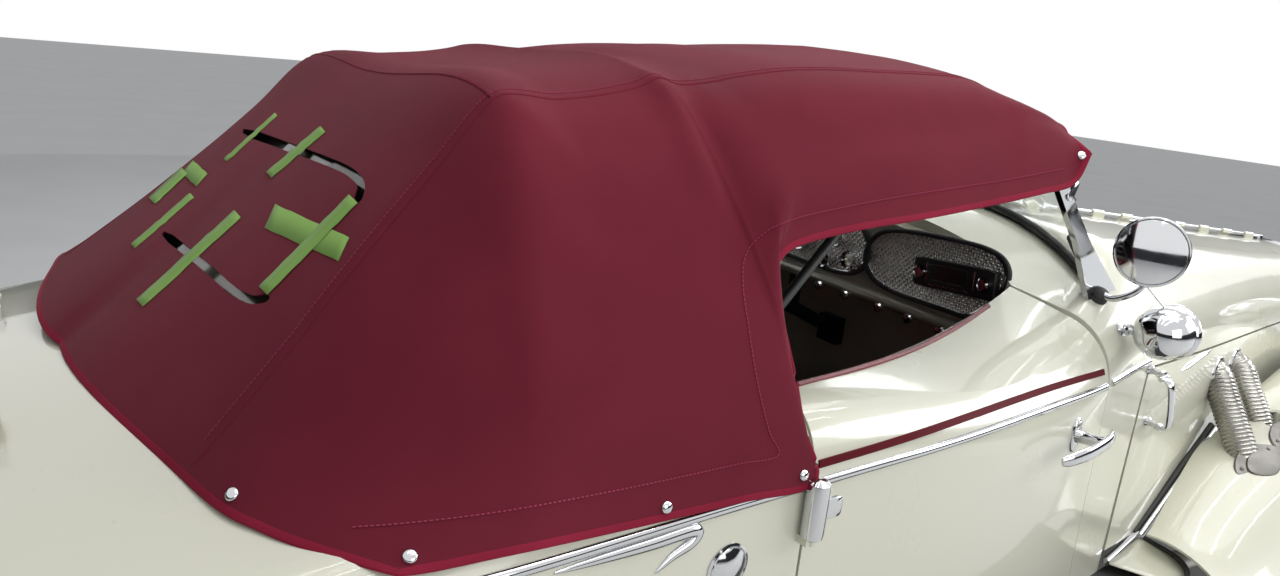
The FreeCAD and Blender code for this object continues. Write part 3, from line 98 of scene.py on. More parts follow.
class Shade:
    """A Principled material with the few node chains that the surfaces here need."""

    def __init__(self, name, color, roughness, **sockets):
        self.material = bpy.data.materials.new(name)
        self.material.use_nodes = True
        tree = self.material.node_tree
        self.nodes, self.link = tree.nodes, tree.links.new
        self.surface = self.nodes["Principled BSDF"].inputs
        self.surface["Base Color"].default_value = (*color, 1)
        self.surface["Roughness"].default_value = roughness
        for socket, value in sockets.items():
            self.surface[socket.replace("_", " ")].default_value = value
        self.coordinates = self.nodes.new("ShaderNodeTexCoord").outputs
        self.bumped = None

    def texture(self, kind, scale, where="Object"):
        node = self.nodes.new(kind)
        node.inputs["Scale"].default_value = scale
        self.link(self.coordinates[where], node.inputs["Vector"])
        return node

    def noise(self, scale, detail):
        node = self.texture("ShaderNodeTexNoise", scale)
        node.inputs["Detail"].default_value = detail
        return node.outputs["Fac"]

    def wave(self, scale, direction):
        node = self.texture("ShaderNodeTexWave", scale, "UV")
        node.bands_direction = direction
        return node.outputs["Fac"]

    def math(self, operation, first, second):
        node = self.nodes.new("ShaderNodeMath")
        node.operation = operation
        for socket, value in zip(node.inputs, (first, second)):
            if isinstance(value, (int, float)):
                socket.default_value = value
            else:
                self.link(value, socket)
        return node.outputs["Value"]

    def ramp(self, factor, low, high, dark, light):
        node = self.nodes.new("ShaderNodeValToRGB")
        for element, place, color in zip(node.color_ramp.elements, (low, high), (dark, light)):
            element.position = place
            element.color = (*color, 1)
        self.link(factor, node.inputs["Fac"])
        return node.outputs["Color"]

    def tint(self, factor, dark, light, low=0.3, high=0.7):
        self.link(self.ramp(factor, low, high, dark, light), self.surface["Base Color"])
        return self

    def rough(self, factor, low, high):
        self.link(self.ramp(factor, 0.3, 0.7, (low,) * 3, (high,) * 3), self.surface["Roughness"])
        return self

    def bump(self, height, strength, distance):
        node = self.nodes.new("ShaderNodeBump")
        node.inputs["Strength"].default_value = strength
        node.inputs["Distance"].default_value = distance
        self.link(height, node.inputs["Height"])
        if self.bumped:
            self.link(self.bumped, node.inputs["Normal"])
        self.bumped = node.outputs["Normal"]
        self.link(self.bumped, self.surface["Normal"])
        return self


def scaled(color, factor):
    return tuple(min(1.0, c * factor) for c in color)


def paint(name, color):
    shade = Shade(name, color, 0.30, Coat_Weight=0.9, Coat_Roughness=0.05)
    shade.tint(shade.noise(1.3, 2), scaled(color, 0.96), scaled(color, 1.02), 0.1, 0.9)
    shade.bump(shade.noise(9, 1), 0.02, 0.0008)
    return shade.rough(shade.noise(5, 3), 0.27, 0.34).material


def chrome(name, color):
    shade = Shade(name, color, 0.07, Metallic=1.0)
    return shade.rough(shade.noise(30, 5), 0.04, 0.13).material


def canvas(name, dark, light, weave=520):
    shade = Shade(name, light, 0.9, Sheen_Weight=0.10, Sheen_Roughness=0.25, Specular_IOR_Level=0.12)
    shade.tint(shade.noise(5, 7), dark, light, 0.25, 0.75)
    weave_height = shade.math("ADD", shade.wave(weave, "X"), shade.wave(weave, "Y"))
    shade.bump(shade.noise(14, 4), 0.12, 0.004)
    return shade.bump(weave_height, 0.35, 0.0006).material


def rubber(name, color, roughness, darkest=0.8, lightest=1.8):
    shade = Shade(name, color, roughness)
    shade.tint(shade.noise(20, 6), scaled(color, darkest), scaled(color, lightest))
    return shade.bump(shade.noise(220, 3), 0.2, 0.0006).material


def leather(name, color):
    shade = Shade(name, color, 0.42, Coat_Weight=0.12, Coat_Roughness=0.3)
    shade.tint(shade.noise(9, 6), scaled(color, 0.7), scaled(color, 1.15))
    grain = shade.texture("ShaderNodeTexVoronoi", 260)
    return shade.bump(grain.outputs["Distance"], 0.22, 0.0008).material


def dull_metal(name, color, rough=0.45, metal=1.0):
    shade = Shade(name, color, rough, Metallic=metal)
    shade.tint(shade.noise(12, 7), scaled(color, 0.6), scaled(color, 1.2))
    shade.bump(shade.noise(80, 4), 0.2, 0.0008)
    return shade.rough(shade.noise(25, 5), rough - 0.1, rough + 0.15).material


def glass(name, color, roughness):
    shade = Shade(name, color, roughness, IOR=1.45, Transmission_Weight=1.0)
    return shade.bump(shade.noise(3, 2), 0.02, 0.001).material


def diamond_metal():
    shade = Shade("diamond_panel", (0.92, 0.90, 0.86), 0.3, Metallic=1.0)
    split = shade.nodes.new("ShaderNodeSeparateXYZ")
    shade.link(shade.coordinates["Object"], split.inputs["Vector"])
    pitch = math.pi / 0.0150
    height = None
    for sign in (1, -1):
        line = shade.math("ADD", split.outputs["X"], shade.math("MULTIPLY", split.outputs["Z"], sign))
        ridge = shade.math("ABSOLUTE", shade.math("SINE", shade.math("MULTIPLY", line, pitch), 0), 0)
        height = ridge if height is None else shade.math("MULTIPLY", height, ridge)
    shade.bump(height, 1.0, 0.004)
    return shade.rough(height, 0.42, 0.2).material


# Finish: material and slot of its pieces
FINISHES = {
    "cream": (paint("cream_paint", (0.660, 0.655, 0.545)), "cream_paint"),
    "wheel": (paint("wheel_paint", (0.70, 0.65, 0.52)), "wheel_paint"),
    "chrome": (chrome("chrome", (0.62, 0.63, 0.65)), "chrome"),
    "satin": (dull_metal("satin_chrome", (0.46, 0.45, 0.42), 0.24), "chrome"),
    "canvas": (canvas("burgundy_canvas", (0.135, 0.013, 0.026), (0.170, 0.018, 0.034)), "canvas"),
    "binding": (canvas("binding_tape", (0.19, 0.010, 0.028), (0.27, 0.018, 0.045), 900), "canvas"),
    "thread": (canvas("stitch_thread", (0.26, 0.03, 0.06), (0.36, 0.06, 0.11), 900), "canvas"),
    "lining": (canvas("top_lining", (0.012, 0.010, 0.011), (0.022, 0.018, 0.019), 400), "canvas"),
    "stripe": (Shade("coach_stripe", (0.095, 0.004, 0.010), 0.55, Specular_IOR_Level=0.1).material,
               "cream_paint"),
    "tape": (canvas("masking_tape", (0.20, 0.36, 0.09), (0.28, 0.46, 0.13), 300), "canvas"),
    "vinyl": (glass("window_vinyl", (0.62, 0.60, 0.58), 0.12), "clear_glass"),
    "glass": (glass("clear_glass", (0.93, 0.96, 0.95), 0.02), "clear_glass"),
    "black": (dull_metal("black_enamel", (0.02, 0.02, 0.02), 0.4, 0.0), "frame_paint"),
    "gasket": (rubber("gasket_rubber", (0.018, 0.018, 0.018), 0.62), "ribbed_rubber"),
    "tyre": (rubber("tyre_rubber", (0.022, 0.022, 0.022), 0.7), "tyre_rubber"),
    "white_wall": (rubber("white_wall", (0.68, 0.66, 0.60), 0.6, 0.94, 1.06), "tyre_rubber"),
    "leather": (leather("seat_leather", (0.20, 0.022, 0.032)), "seat_leather"),
    "carpet": (canvas("floor_carpet", (0.010, 0.009, 0.010), (0.022, 0.019, 0.020), 160), "floor_cover"),
    # Dash paint: the body cream darkened, painted shade of the dash under the cowl
    "shaded_cream": (paint("dash_shaded_cream", (0.40, 0.37, 0.30)), "dash_paint"),
    "dark_trim": (leather("dark_trim", (0.03, 0.024, 0.024)), "seat_leather"),
    "steel": (dull_metal("exhaust_steel", (0.42, 0.41, 0.39), 0.4), "exhaust_steel"),
    "flange": (dull_metal("flange_steel", (0.20, 0.195, 0.185), 0.42), "exhaust_steel"),
    "iron": (dull_metal("engine_enamel", (0.10, 0.14, 0.11), 0.5, 0.2), "engine_iron"),
    "ivory": (paint("ivory_plastic", (0.66, 0.61, 0.48)), "wheel_plastic"),
    "red_lens": (glass("red_lens", (0.55, 0.01, 0.01), 0.08), "clear_glass"),
    "silver": (chrome("lamp_silver", (0.72, 0.73, 0.75)), "chrome"),
    "plate": (paint("blank_plate", (0.75, 0.75, 0.72)), "cream_paint"),
    "black_gloss": (paint("black_gloss", (0.012, 0.012, 0.012)), "frame_paint"),
    "diamond": (diamond_metal(), "chrome"),
}
CAD_FINISH = {
    "cream": "cowl body_tub door_right door_left boot_lid hood_right hood_left hood_sides front_fenders "
             "rear_fenders",
    "wheel": "wheel_front_right wheel_front_left wheel_rear_right wheel_rear_left",
    "tyre": "tyre_front_right tyre_front_left tyre_rear_right tyre_rear_left",
    "chrome": "hood_hinge boot_hinges grille_shell grille_bars windscreen_frame headlamps cowl_lamps "
              "mirrors tail_lamps bumpers side_pipes",
    "gasket": "running_boards",
    "black": "frame_rail_right frame_rail_left frame_kick_right frame_kick_left frame_crossmembers "
             "knuckle_right knuckle_left front_axle rear_axle fuel_tank steering_column top_frame radiator",
    "carpet": "floor_pan",
    # The dashboard takes the darkened cream, painted shade under the cowl
    "shaded_cream": "dashboard",
    "iron": "engine",
    "steel": "exhaust_system",
    "leather": "front_seats rear_seat",
    "ivory": "steering_wheel",
    "glass": "windscreen_glass headlamp_glass",
    "vinyl": "rear_window",
    "canvas": "soft_top",
}

for cad_finish, names in CAD_FINISH.items():
    for node_name in names.split():
        mesh = NODES[node_name].data
        mesh.materials.clear()
        mesh.materials.append(FINISHES[cad_finish][0])
        mesh.shade_smooth()
        mesh.set_sharp_from_angle(angle=math.radians(28))


# Mesh building

def dressed(obj, finish, body):
    """The object with the finish's material, riding on the body."""
    material, slot = FINISHES[finish]
    obj.data.materials.append(material)
    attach(obj, body)
    return obj


def mesh_of(name, verts, faces):
    mesh = bpy.data.meshes.new(name)
    mesh.from_pydata([tuple(vert) for vert in verts], [], faces)
    return mesh


def add_mesh(name, verts, faces, finish, body="car", smooth=True):
    mesh = mesh_of(name, verts, faces)
    mesh.validate()
    if smooth:
        mesh.shade_smooth()
    return dressed(put(name, mesh), finish, body)


def thicken(obj, thickness, offset=-1.0):
    modifier = obj.modifiers.new("thickness", "SOLIDIFY")
    modifier.thickness = thickness
    modifier.offset = offset
    return modifier


def ring_faces(rows, ring, closed=False, first=True, last=True):
    """Faces between rings of points that follow one another, and over the first and last ring."""
    faces = []
    for i in range(rows if closed else rows - 1):
        a, b = i * ring, (i + 1) % rows * ring
        for j in range(ring):
            k = (j + 1) % ring
            faces.append((a + j, a + k, b + k, b + j))
    if first and not closed:
        faces.append(tuple(reversed(range(ring))))
    if last and not closed:
        faces.append(tuple(range((rows - 1) * ring, rows * ring)))
    return faces


def angles(count):
    return [2 * math.pi * i / count for i in range(count)]


def turned(u, v, angle):
    """The direction at an angle between two axes."""
    return u * math.cos(angle) + v * math.sin(angle)


def frames_along(points, normals=None):
    """Tangent, sideways and normal at each point of a path."""
    count = len(points)
    result = []
    previous = None
    for i in range(count):
        ahead = points[min(i + 1, count - 1)] - points[max(i - 1, 0)]
        ahead = ahead.normalized() if ahead.length > 1e-9 else Z
        if normals is not None:
            up = normals[i]
        elif previous is not None:
            up = previous
        else:
            up = Z if abs(ahead.z) < 0.9 else X
        sideways = ahead.cross(up).normalized()
        up = sideways.cross(ahead).normalized()
        previous = up
        result.append((ahead, sideways, up))
    return result


def sweep_data(points, profile, normals=None, scale=None, closed=False):
    """Vertices and faces of a profile of (sideways, up) pairs carried along a path."""
    verts, count = [], len(points)
    for i, (point, (_, sideways, up)) in enumerate(zip(points, frames_along(points, normals))):
        size = scale(i / max(1, count - 1)) if scale else 1.0
        verts += [point + (sideways * u + up * v) * size for u, v in profile]
    return verts, ring_faces(count, len(profile), closed)


def hoop_data(points, profile, normal):
    """A profile carried round a closed path whose up direction is the same all round."""
    return sweep_data(points, profile, [normal] * len(points), None, True)


def circle(radius, count=10, flat=1.0):
    return [(radius * math.cos(a), radius * flat * math.sin(a)) for a in angles(count)]


def bead_profile(width, height, count=6):
    """A half-round moulding with its flat side on the surface, sunk a hair into it."""
    arch = [(width / 2 * math.cos(math.pi * i / count), height * math.sin(math.pi * i / count))
        for i in range(count + 1)]
    return arch + [(-width / 2, -0.0006), (width / 2, -0.0006)]


def sweep(name, points, profile, finish, body="car", normals=None, scale=None):
    return merged(name, [sweep_data(points, profile, normals, scale)], finish, body)


def merged(name, parts, finish, body="car", smooth=True):
    """One piece from several lists of vertices and faces."""
    verts, faces = [], []
    for part_verts, part_faces in parts:
        base = len(verts)
        verts += part_verts
        faces += [tuple(base + i for i in face) for face in part_faces]
    obj = add_mesh(name, verts, faces, finish, body, smooth)
    obj.data.set_sharp_from_angle(angle=math.radians(35))
    return obj


def turn_data(profile, origin, axis, segments=40, ends=True):
    """Surface of revolution: profile of (radius, distance along the axis)."""
    axis = Vector(axis).normalized()
    side = axis.orthogonal().normalized()
    other = axis.cross(side)
    origin = Vector(origin)
    verts = [origin + axis * along + turned(side, other, angle) * radius
        for radius, along in profile for angle in angles(segments)]
    first, last = (ends and radius > 1e-6 for radius in (profile[0][0], profile[-1][0]))
    return verts, ring_faces(len(profile), segments, False, first, last)


def lathe(profile, *place):
    """Surface of revolution with its profile in millimetres."""
    return turn_data([(radius / 1000, along / 1000) for radius, along in profile], *place)


def block_data(centre, size, axes):
    verts = [centre + sum((axis * (s * n / 2) for axis, s, n in zip(axes, signs, size)), Vector())
        for signs in ((-1, -1, -1), (1, -1, -1), (1, 1, -1), (-1, 1, -1), (-1, -1, 1), (1, -1, 1),
        (1, 1, 1), (-1, 1, 1))]
    faces = [(0, 3, 2, 1), (4, 5, 6, 7), (0, 1, 5, 4), (1, 2, 6, 5), (2, 3, 7, 6), (3, 0, 4, 7)]
    return verts, faces


def catmull(points, per_span, closed=False):
    """A smooth path through the points."""
    count = len(points)
    result = []
    for i in range(count if closed else count - 1):
        if closed:
            p0, p1, p2, p3 = (points[(i + k) % count] for k in (-1, 0, 1, 2))
        else:
            p1, p2 = points[i], points[i + 1]
            p0 = points[i - 1] if i else p1 * 2 - p2
            p3 = points[i + 2] if i + 2 < count else p2 * 2 - p1
        for step in range(per_span):
            t = step / per_span
            bent = (2 * p0 - 5 * p1 + 4 * p2 - p3) * t * t
            result.append(0.5 * ((2 * p1) + (p2 - p0) * t + bent + (3 * p1 - p0 - 3 * p2 + p3) * t ** 3))
    if not closed:
        result.append(points[-1].copy())
    return result


# Where things lie on the solids

def tree_of(*nodes):
    verts, faces = [], []
    for node in nodes:
        mesh = NODES[node].data
        base = len(verts)
        verts += [v.co.copy() for v in mesh.vertices]
        faces += [tuple(base + i for i in p.vertices) for p in mesh.polygons]
    return BVHTree.FromPolygons(verts, faces)


SKINS = {}


def skin(*nodes):
    if nodes not in SKINS:
        SKINS[nodes] = tree_of(*nodes)
    return SKINS[nodes]


def outward(found, ahead):
    """Place and normal of a ray's hit, the normal against the ray; None where the ray missed."""
    place, normal = found[:2]
    if place is None:
        return None
    return place, normal if normal.dot(ahead) < 0 else -normal


# Distance from the centre line that is clear of the body
BESIDE = 1.6


def side_point(tree, side, y, z):
    """Point and outward normal of the skin, seen from that side of the car."""
    inward = X * -side
    return outward(tree.ray_cast(Vector((side * BESIDE, y, z)), inward), inward)


def side_line(tree, side, outline, step=0.03):
    """Points and normals along an outline of (y, z) pairs laid on the side of the car."""
    points, normals = [], []
    for (y0, z0), (y1, z1) in zip(outline, outline[1:]):
        count = max(1, round(math.hypot(y1 - y0, z1 - z0) / step))
        for i in range(count + (1 if (y1, z1) == outline[-1] else 0)):
            found = side_point(tree, side, y0 + (y1 - y0) * i / count, z0 + (z1 - z0) * i / count)
            if found:
                points.append(found[0])
                normals.append(found[1])
    return points, normals


def photo_point(tree, pixel):
    """Point and normal of the skin under a photograph pixel."""
    return outward(tree.ray_cast(CAMERA_AT, photo_ray(pixel)), AHEAD)


# Canvas top. Rows from the header back. Columns: Y, Z on the centre line; X, Y, Z of the roof seam,
# of the side's middle, and of the edge, which runs round the side opening and along the hem.
TOP_ROWS = (
    (-0.052, 1.505, 0.470, -0.050, 1.484, 0.560, -0.045, 1.456, 0.612, -0.040, 1.428),
    (0.020, 1.534, 0.466, 0.020, 1.510, 0.563, 0.020, 1.476, 0.621, 0.006, 1.374),
    (0.090, 1.560, 0.463, 0.095, 1.532, 0.566, 0.100, 1.476, 0.628, 0.110, 1.356),
    (0.190, 1.578, 0.460, 0.190, 1.545, 0.572, 0.200, 1.450, 0.634, 0.240, 1.338),
    (0.420, 1.562, 0.459, 0.420, 1.542, 0.590, 0.420, 1.432, 0.645, 0.430, 1.316),
    (0.600, 1.554, 0.458, 0.600, 1.535, 0.602, 0.600, 1.415, 0.652, 0.600, 1.299),
    (0.720, 1.541, 0.457, 0.715, 1.520, 0.615, 0.705, 1.395, 0.664, 0.725, 1.281),
    (0.770, 1.533, 0.456, 0.765, 1.510, 0.635, 0.750, 1.370, 0.676, 0.772, 1.262),
    (0.800, 1.528, 0.455, 0.800, 1.504, 0.648, 0.775, 1.345, 0.684, 0.786, 1.235),
    (0.825, 1.524, 0.455, 0.825, 1.499, 0.662, 0.790, 1.310, 0.696, 0.774, 1.175),
    (0.845, 1.520, 0.454, 0.845, 1.495, 0.675, 0.800, 1.275, 0.714, 0.754, 1.100),
    (0.860, 1.518, 0.454, 0.860, 1.492, 0.688, 0.805, 1.240, 0.733, 0.725, 1.000),
    (0.879, 1.515, 0.454, 0.879, 1.489, 0.700, 0.820, 1.200, 0.748, 0.703, 0.920),
    (0.960, 1.503, 0.466, 0.955, 1.480, 0.705, 0.920, 1.190, 0.759, 0.850, 0.923),
    (1.070, 1.484, 0.485, 1.060, 1.466, 0.705, 1.040, 1.180, 0.772, 1.020, 0.928),
    (1.178, 1.450, 0.505, 1.168, 1.451, 0.702, 1.160, 1.170, 0.782, 1.180, 0.933),
    (1.300, 1.338, 0.508, 1.265, 1.329, 0.704, 1.215, 1.120, 0.783, 1.250, 0.934),
    (1.422, 1.218, 0.511, 1.362, 1.207, 0.703, 1.280, 1.065, 0.783, 1.310, 0.934),
    (1.545, 1.105, 0.513, 1.460, 1.085, 0.690, 1.370, 1.010, 0.782, 1.345, 0.934),
    (1.668, 0.984, 0.514, 1.557, 0.964, 0.665, 1.488, 0.952, 0.781, 1.372, 0.934),
)
ACROSS, ALONG = 14, 8
REAR_BOW_ROW = 15


def top_grid():
    """Grid of points: first index along the car, second across it from the right edge to the left."""
    control = []
    for row in TOP_ROWS:
        middle = Vector((0, row[0], row[1]))
        half = [Vector((-row[i], row[i + 1], row[i + 2])) for i in (8, 5, 2)]
        control.append(half + [middle] + [mirror(p) for p in reversed(half)])
    crossed = [catmull(row, ACROSS) for row in control]
    columns = [catmull([row[i] for row in crossed], ALONG) for i in range(len(crossed[0]))]
    return [list(row) for row in zip(*columns)]


GRID = top_grid()
ROW_COUNT, COLUMN_COUNT = len(GRID), len(GRID[0])
SEAM_COLUMNS = (2 * ACROSS, COLUMN_COUNT - 1 - 2 * ACROSS)


def settle_left_side():
    """The far side lies lower, and its rear corner isn't buttoned down and stands off the deck."""
    first, middle = REAR_BOW_ROW * ALONG, COLUMN_COUNT // 2
    for i in range(2 * ALONG, ROW_COUNT):
        along = min(1.0, (i - 2 * ALONG) / (2 * ALONG), (ROW_COUNT - 1 - i) / (4 * ALONG))
        for j in range(middle, COLUMN_COUNT):
            s = min(1.0, (j - middle) / ACROSS)
            fade = max(0.0, 1 - (j - middle - ACROSS) / (2 * ACROSS))
            GRID[i][j] -= Vector((0, 0, 0.019)) * along * s * fade
    for i in range(first, ROW_COUNT):
        down = ((i - first) / (ROW_COUNT - 1 - first)) ** 1.8
        for j in range(middle, COLUMN_COUNT):
            s = (j - middle) / (COLUMN_COUNT - 1 - middle)
            bulge = math.sin(math.pi * min(1.0, s / 0.95)) ** 0.8
            GRID[i][j] += Vector((-0.010 * down, 0.112 * down, 0.031 * down ** 0.3)) * bulge


def relax_top():
    """Cloth between the bows hangs a little and the hand-sewn panels are not quite even."""
    bows = (0, 3 * ALONG, 12 * ALONG, REAR_BOW_ROW * ALONG)
    for i, row in enumerate(GRID):
        sag = 0.0
        for start, end in zip(bows, bows[1:]):
            if start < i < end:
                sag = math.sin(math.pi * (i - start) / (end - start)) * (0.5 if start == 0 else 1.0)
        for j, point in enumerate(row):
            inside = 1 - abs(j - COLUMN_COUNT / 2) / (COLUMN_COUNT / 2)
            edge = min(1.0, min(j, COLUMN_COUNT - 1 - j, i, ROW_COUNT - 1 - i) / 10)
            wave = noise.noise(Vector((point.x * 2.6, point.y * 3.4, point.z * 2.8)))
            fine = noise.noise(point * 9 + Vector((7, 3, 1)))
            away = Vector((point.x, 0, max(0.2, point.z - 0.9))).normalized()
            point -= Vector((0, 0, 0.012)) * sag * min(1.0, inside * 1.6)
            point += away * edge * (0.005 * wave + 0.0012 * fine)


settle_left_side()
relax_top()


def grid_normals(grid):
    normals = []
    for i, row in enumerate(grid):
        ahead = [b - a for a, b in zip(grid[max(i - 1, 0)], grid[min(i + 1, ROW_COUNT - 1)])]
        across = [row[min(j + 1, COLUMN_COUNT - 1)] - row[max(j - 1, 0)] for j in range(COLUMN_COUNT)]
        normals.append([a.cross(b).normalized() for a, b in zip(across, ahead)])
    return normals


NORMALS = grid_normals(GRID)
FABRIC = 0.0026


def sheet_faces(rows, columns):
    return [(a, a + columns, a + columns + 1, a + 1)
        for i in range(rows - 1) for a in range(i * columns, (i + 1) * columns - 1)]


def grid_tree():
    return BVHTree.FromPolygons([p for row in GRID for p in row], sheet_faces(ROW_COUNT, COLUMN_COUNT))


# Folds of the cloth: ends in photograph pixels, width and height in metres
FOLDS = (
    ((655, 80), (714, 208), 0.034, 0.011),
    ((495, 98), (580, 172), 0.024, 0.006),
    ((575, 165), (640, 160), 0.016, 0.004),
    ((700, 120), (745, 230), 0.030, -0.005),
    ((420, 180), (300, 330), 0.040, 0.006),
)


def fold_top():
    tree = grid_tree()
    changes = []
    for start, end, width, height in FOLDS:
        found = [photo_point(tree, pixel) for pixel in (start, end)]
        if None in found:
            continue
        a, b = (place for place, _ in found)
        along = b - a
        for i, row in enumerate(GRID):
            for j, point in enumerate(row):
                t = max(0.0, min(1.0, (point - a).dot(along) / along.length_squared))
                reach = (point - a - along * t).length / width
                if reach < 2.2:
                    fade = math.sin(math.pi * min(1.0, 0.15 + 0.85 * t)) ** 0.5
                    changes.append((point, NORMALS[i][j] * height * fade * math.exp(-1.5 * reach * reach)))
    for point, change in changes:
        point += change


fold_top()
TOP_SKIN = grid_tree()

# Slits in the rear curtain round its window flap: width and run in photograph pixels
SLIT_WIDTH = 9
UPPER_SLIT = ((243, 131), (288, 147), (326, 161), (350, 172), (361, 185), (357, 203))
LOWER_SLIT = ((163, 233), (190, 254), (212, 272), (232, 290), (253, 300), (270, 297))


def offset_outline(path, width):
    """A closed outline round a pixel path, rounded at its ends."""
    path = catmull([Vector((*pixel, 0)) for pixel in path], 4)
    left, right = [], []
    for i, point in enumerate(path):
        ahead = (path[min(i + 1, len(path) - 1)] - path[max(i - 1, 0)]).normalized()
        across = Vector((-ahead.y, ahead.x, 0)) * width / 2
        taper = 0.45 if i in (0, len(path) - 1) else 1.0
        left.append(point + across * taper)
        right.append(point - across * taper)
    return [(p.x, p.y) for p in left + right[::-1]]


def slit_cutter(path):
    outline = [photo_point(TOP_SKIN, pixel) for pixel in offset_outline(path, SLIT_WIDTH)]
    outline = [found for found in outline if found]
    count = len(outline)
    verts = [place + normal * depth for depth in (0.03, -0.03) for place, normal in outline]
    faces = ring_faces(2, count, False, False, False)
    for i in range(count // 2 - 1):
        quad = (i, i + 1, count - 2 - i, count - 1 - i)
        faces += [tuple(reversed(quad)), tuple(count + n for n in quad)]
    mesh = mesh_of("slit", verts, faces)
    cleaned = bmesh.new()
    cleaned.from_mesh(mesh)
    bmesh.ops.recalc_face_normals(cleaned, faces=cleaned.faces)
    cleaned.to_mesh(mesh)
    cleaned.free()
    return put("slit", mesh)


def apply_modifiers(obj):
    bpy.context.view_layer.update()
    depsgraph = bpy.context.evaluated_depsgraph_get()
    mesh = bpy.data.meshes.new_from_object(obj.evaluated_get(depsgraph))
    obj.modifiers.clear()
    obj.data = mesh


def make_canopy():
    faces = [tuple(reversed(face)) for face in sheet_faces(ROW_COUNT, COLUMN_COUNT)]
    top = add_mesh("canvas_top", [p for row in GRID for p in row], faces, "canvas")
    layer = top.data.uv_layers.new(name="UVMap")
    for loop in top.data.loops:
        i, j = divmod(loop.vertex_index, COLUMN_COUNT)
        layer.data[loop.index].uv = (j / COLUMN_COUNT * 2.2, i / ROW_COUNT * 2.1)
    top.data.materials.append(FINISHES["lining"][0])
    thicken(top, FABRIC, 0).material_offset = 1
    apply_modifiers(top)
    for path in (UPPER_SLIT, LOWER_SLIT):
        slit = top.modifiers.new("slit", "BOOLEAN")
        slit.operation, slit.solver = "DIFFERENCE", "EXACT"
        slit.object = cutter = slit_cutter(path)
        apply_modifiers(top)
        bpy.data.objects.remove(cutter)
    top.data.shade_smooth()
    top.data.set_sharp_from_angle(angle=math.radians(40))
    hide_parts("soft_top")
    return top


CANOPY = make_canopy()


def grid_path(places, lift=0.0015):
    """Points and normals on the canvas for a list of (row, column) places."""
    points, normals = [], []
    for i, j in places:
        i0, j0 = min(int(i), ROW_COUNT - 2), min(int(j), COLUMN_COUNT - 2)
        s, t = i - i0, j - j0
        blend = ((i0, j0, (1 - s) * (1 - t)), (i0 + 1, j0, s * (1 - t)),
            (i0, j0 + 1, (1 - s) * t), (i0 + 1, j0 + 1, s * t))
        point = sum((GRID[a][b] * w for a, b, w in blend), Vector())
        normal = sum((NORMALS[a][b] * w for a, b, w in blend), Vector()).normalized()
        points.append(point + normal * lift)
        normals.append(normal)
    return points, normals


def resampled(points, normals, spacing):
    """The same path with points at an even spacing."""
    placed, facing = [points[0]], [normals[0]]
    left = spacing
    for (a, b), (m, n) in zip(zip(points, points[1:]), zip(normals, normals[1:])):
        length = (b - a).length
        done = 0.0
        while length - done >= left:
            done += left
            t = done / length
            placed.append(a.lerp(b, t))
            facing.append(m.lerp(n, t).normalized())
            left = spacing
        left -= length - done
    return placed, facing


STITCH_LENGTH, STITCH_PITCH = 0.0042, 0.0068


def stitch_parts(points, normals):
    placed, facing = resampled(points, normals, STITCH_PITCH)
    parts = []
    for a, b, normal in zip(placed, placed[1:], facing):
        ahead = (b - a).normalized()
        across = ahead.cross(normal).normalized()
        parts.append(block_data(a + normal * 0.0006, (STITCH_LENGTH, 0.0016, 0.0014),
            (ahead, across, normal)))
    return parts


def boundary_places(side):
    """Edge of the canvas on one side: header corner, round the side opening, hem, to the rear centre."""
    column, step = (0, 1) if side < 0 else (COLUMN_COUNT - 1, -1)
    down = [(i, column) for i in range(ROW_COUNT)]
    return down + [(ROW_COUNT - 1, j) for j in range(column + step, COLUMN_COUNT // 2 + step, step)]


# The sewn line round the side opening and along the hem, in photograph pixels
STITCH_PIXELS = ((1062, 169), (1052, 171), (1000, 181), (940, 190), (880, 200), (830, 210), (790, 220),
    (762, 235), (745, 255), (742, 285), (748, 330), (756, 380), (768, 430), (777, 455), (740, 463),
    (700, 472), (640, 485), (580, 497), (520, 508), (460, 517), (400, 524), (345, 528))


def canvas_path(side):
    """Points and normals on the canvas under that line, or nearest to its mirror image."""
    points, normals = [], []
    path = catmull([Vector((*pixel, 0)) for pixel in STITCH_PIXELS], 8)
    for place, normal in filter(None, (photo_point(TOP_SKIN, (pixel.x, pixel.y)) for pixel in path)):
        if side > 0:
            across = mirror(normal)
            place, normal, _, _ = TOP_SKIN.find_nearest(mirror(place))
            normal = normal if normal.dot(across) > 0 else -normal
        points.append(place + normal * 0.0015)
        normals.append(normal)
    return points, normals


def make_top_trim():
    hem, seams, stitches = [], [], []
    middle = COLUMN_COUNT // 2
    for side, seam, beside in ((-1, SEAM_COLUMNS[0], 0.55), (1, SEAM_COLUMNS[1], -0.55)):
        header = [(0, middle + side * j) for j in range(middle + 1)]
        points, normals = grid_path(header + boundary_places(side)[1:], 0.0)
        hem.append(sweep_data(points, circle(0.0062, 8, 0.42), normals))
        points, normals = grid_path([(i, seam) for i in range(1, ROW_COUNT - 1)])
        seams.append(sweep_data(points, bead_profile(0.0065, 0.0016, 4), normals))
        stitches += stitch_parts(*grid_path([(i, seam + beside) for i in range(1, ROW_COUNT - 2)]))
        stitches += stitch_parts(*canvas_path(side))
    across = range(SEAM_COLUMNS[0], SEAM_COLUMNS[1] + 1)
    points, normals = grid_path([(REAR_BOW_ROW * ALONG, j) for j in across])
    seams.append(sweep_data(points, bead_profile(0.0060, 0.0014, 4), normals))
    return [merged("top_binding", hem, "binding"), merged("top_seams", seams, "canvas"),
        merged("top_stitching", stitches, "thread", smooth=False)]


# Snap fasteners of the hem, in photograph pixels, and mirrored to the left side
SNAP_PIXELS = ((233, 495), (410, 557), (666, 507), (803, 475), (1081, 156))
SNAP_RADIUS = 0.0095


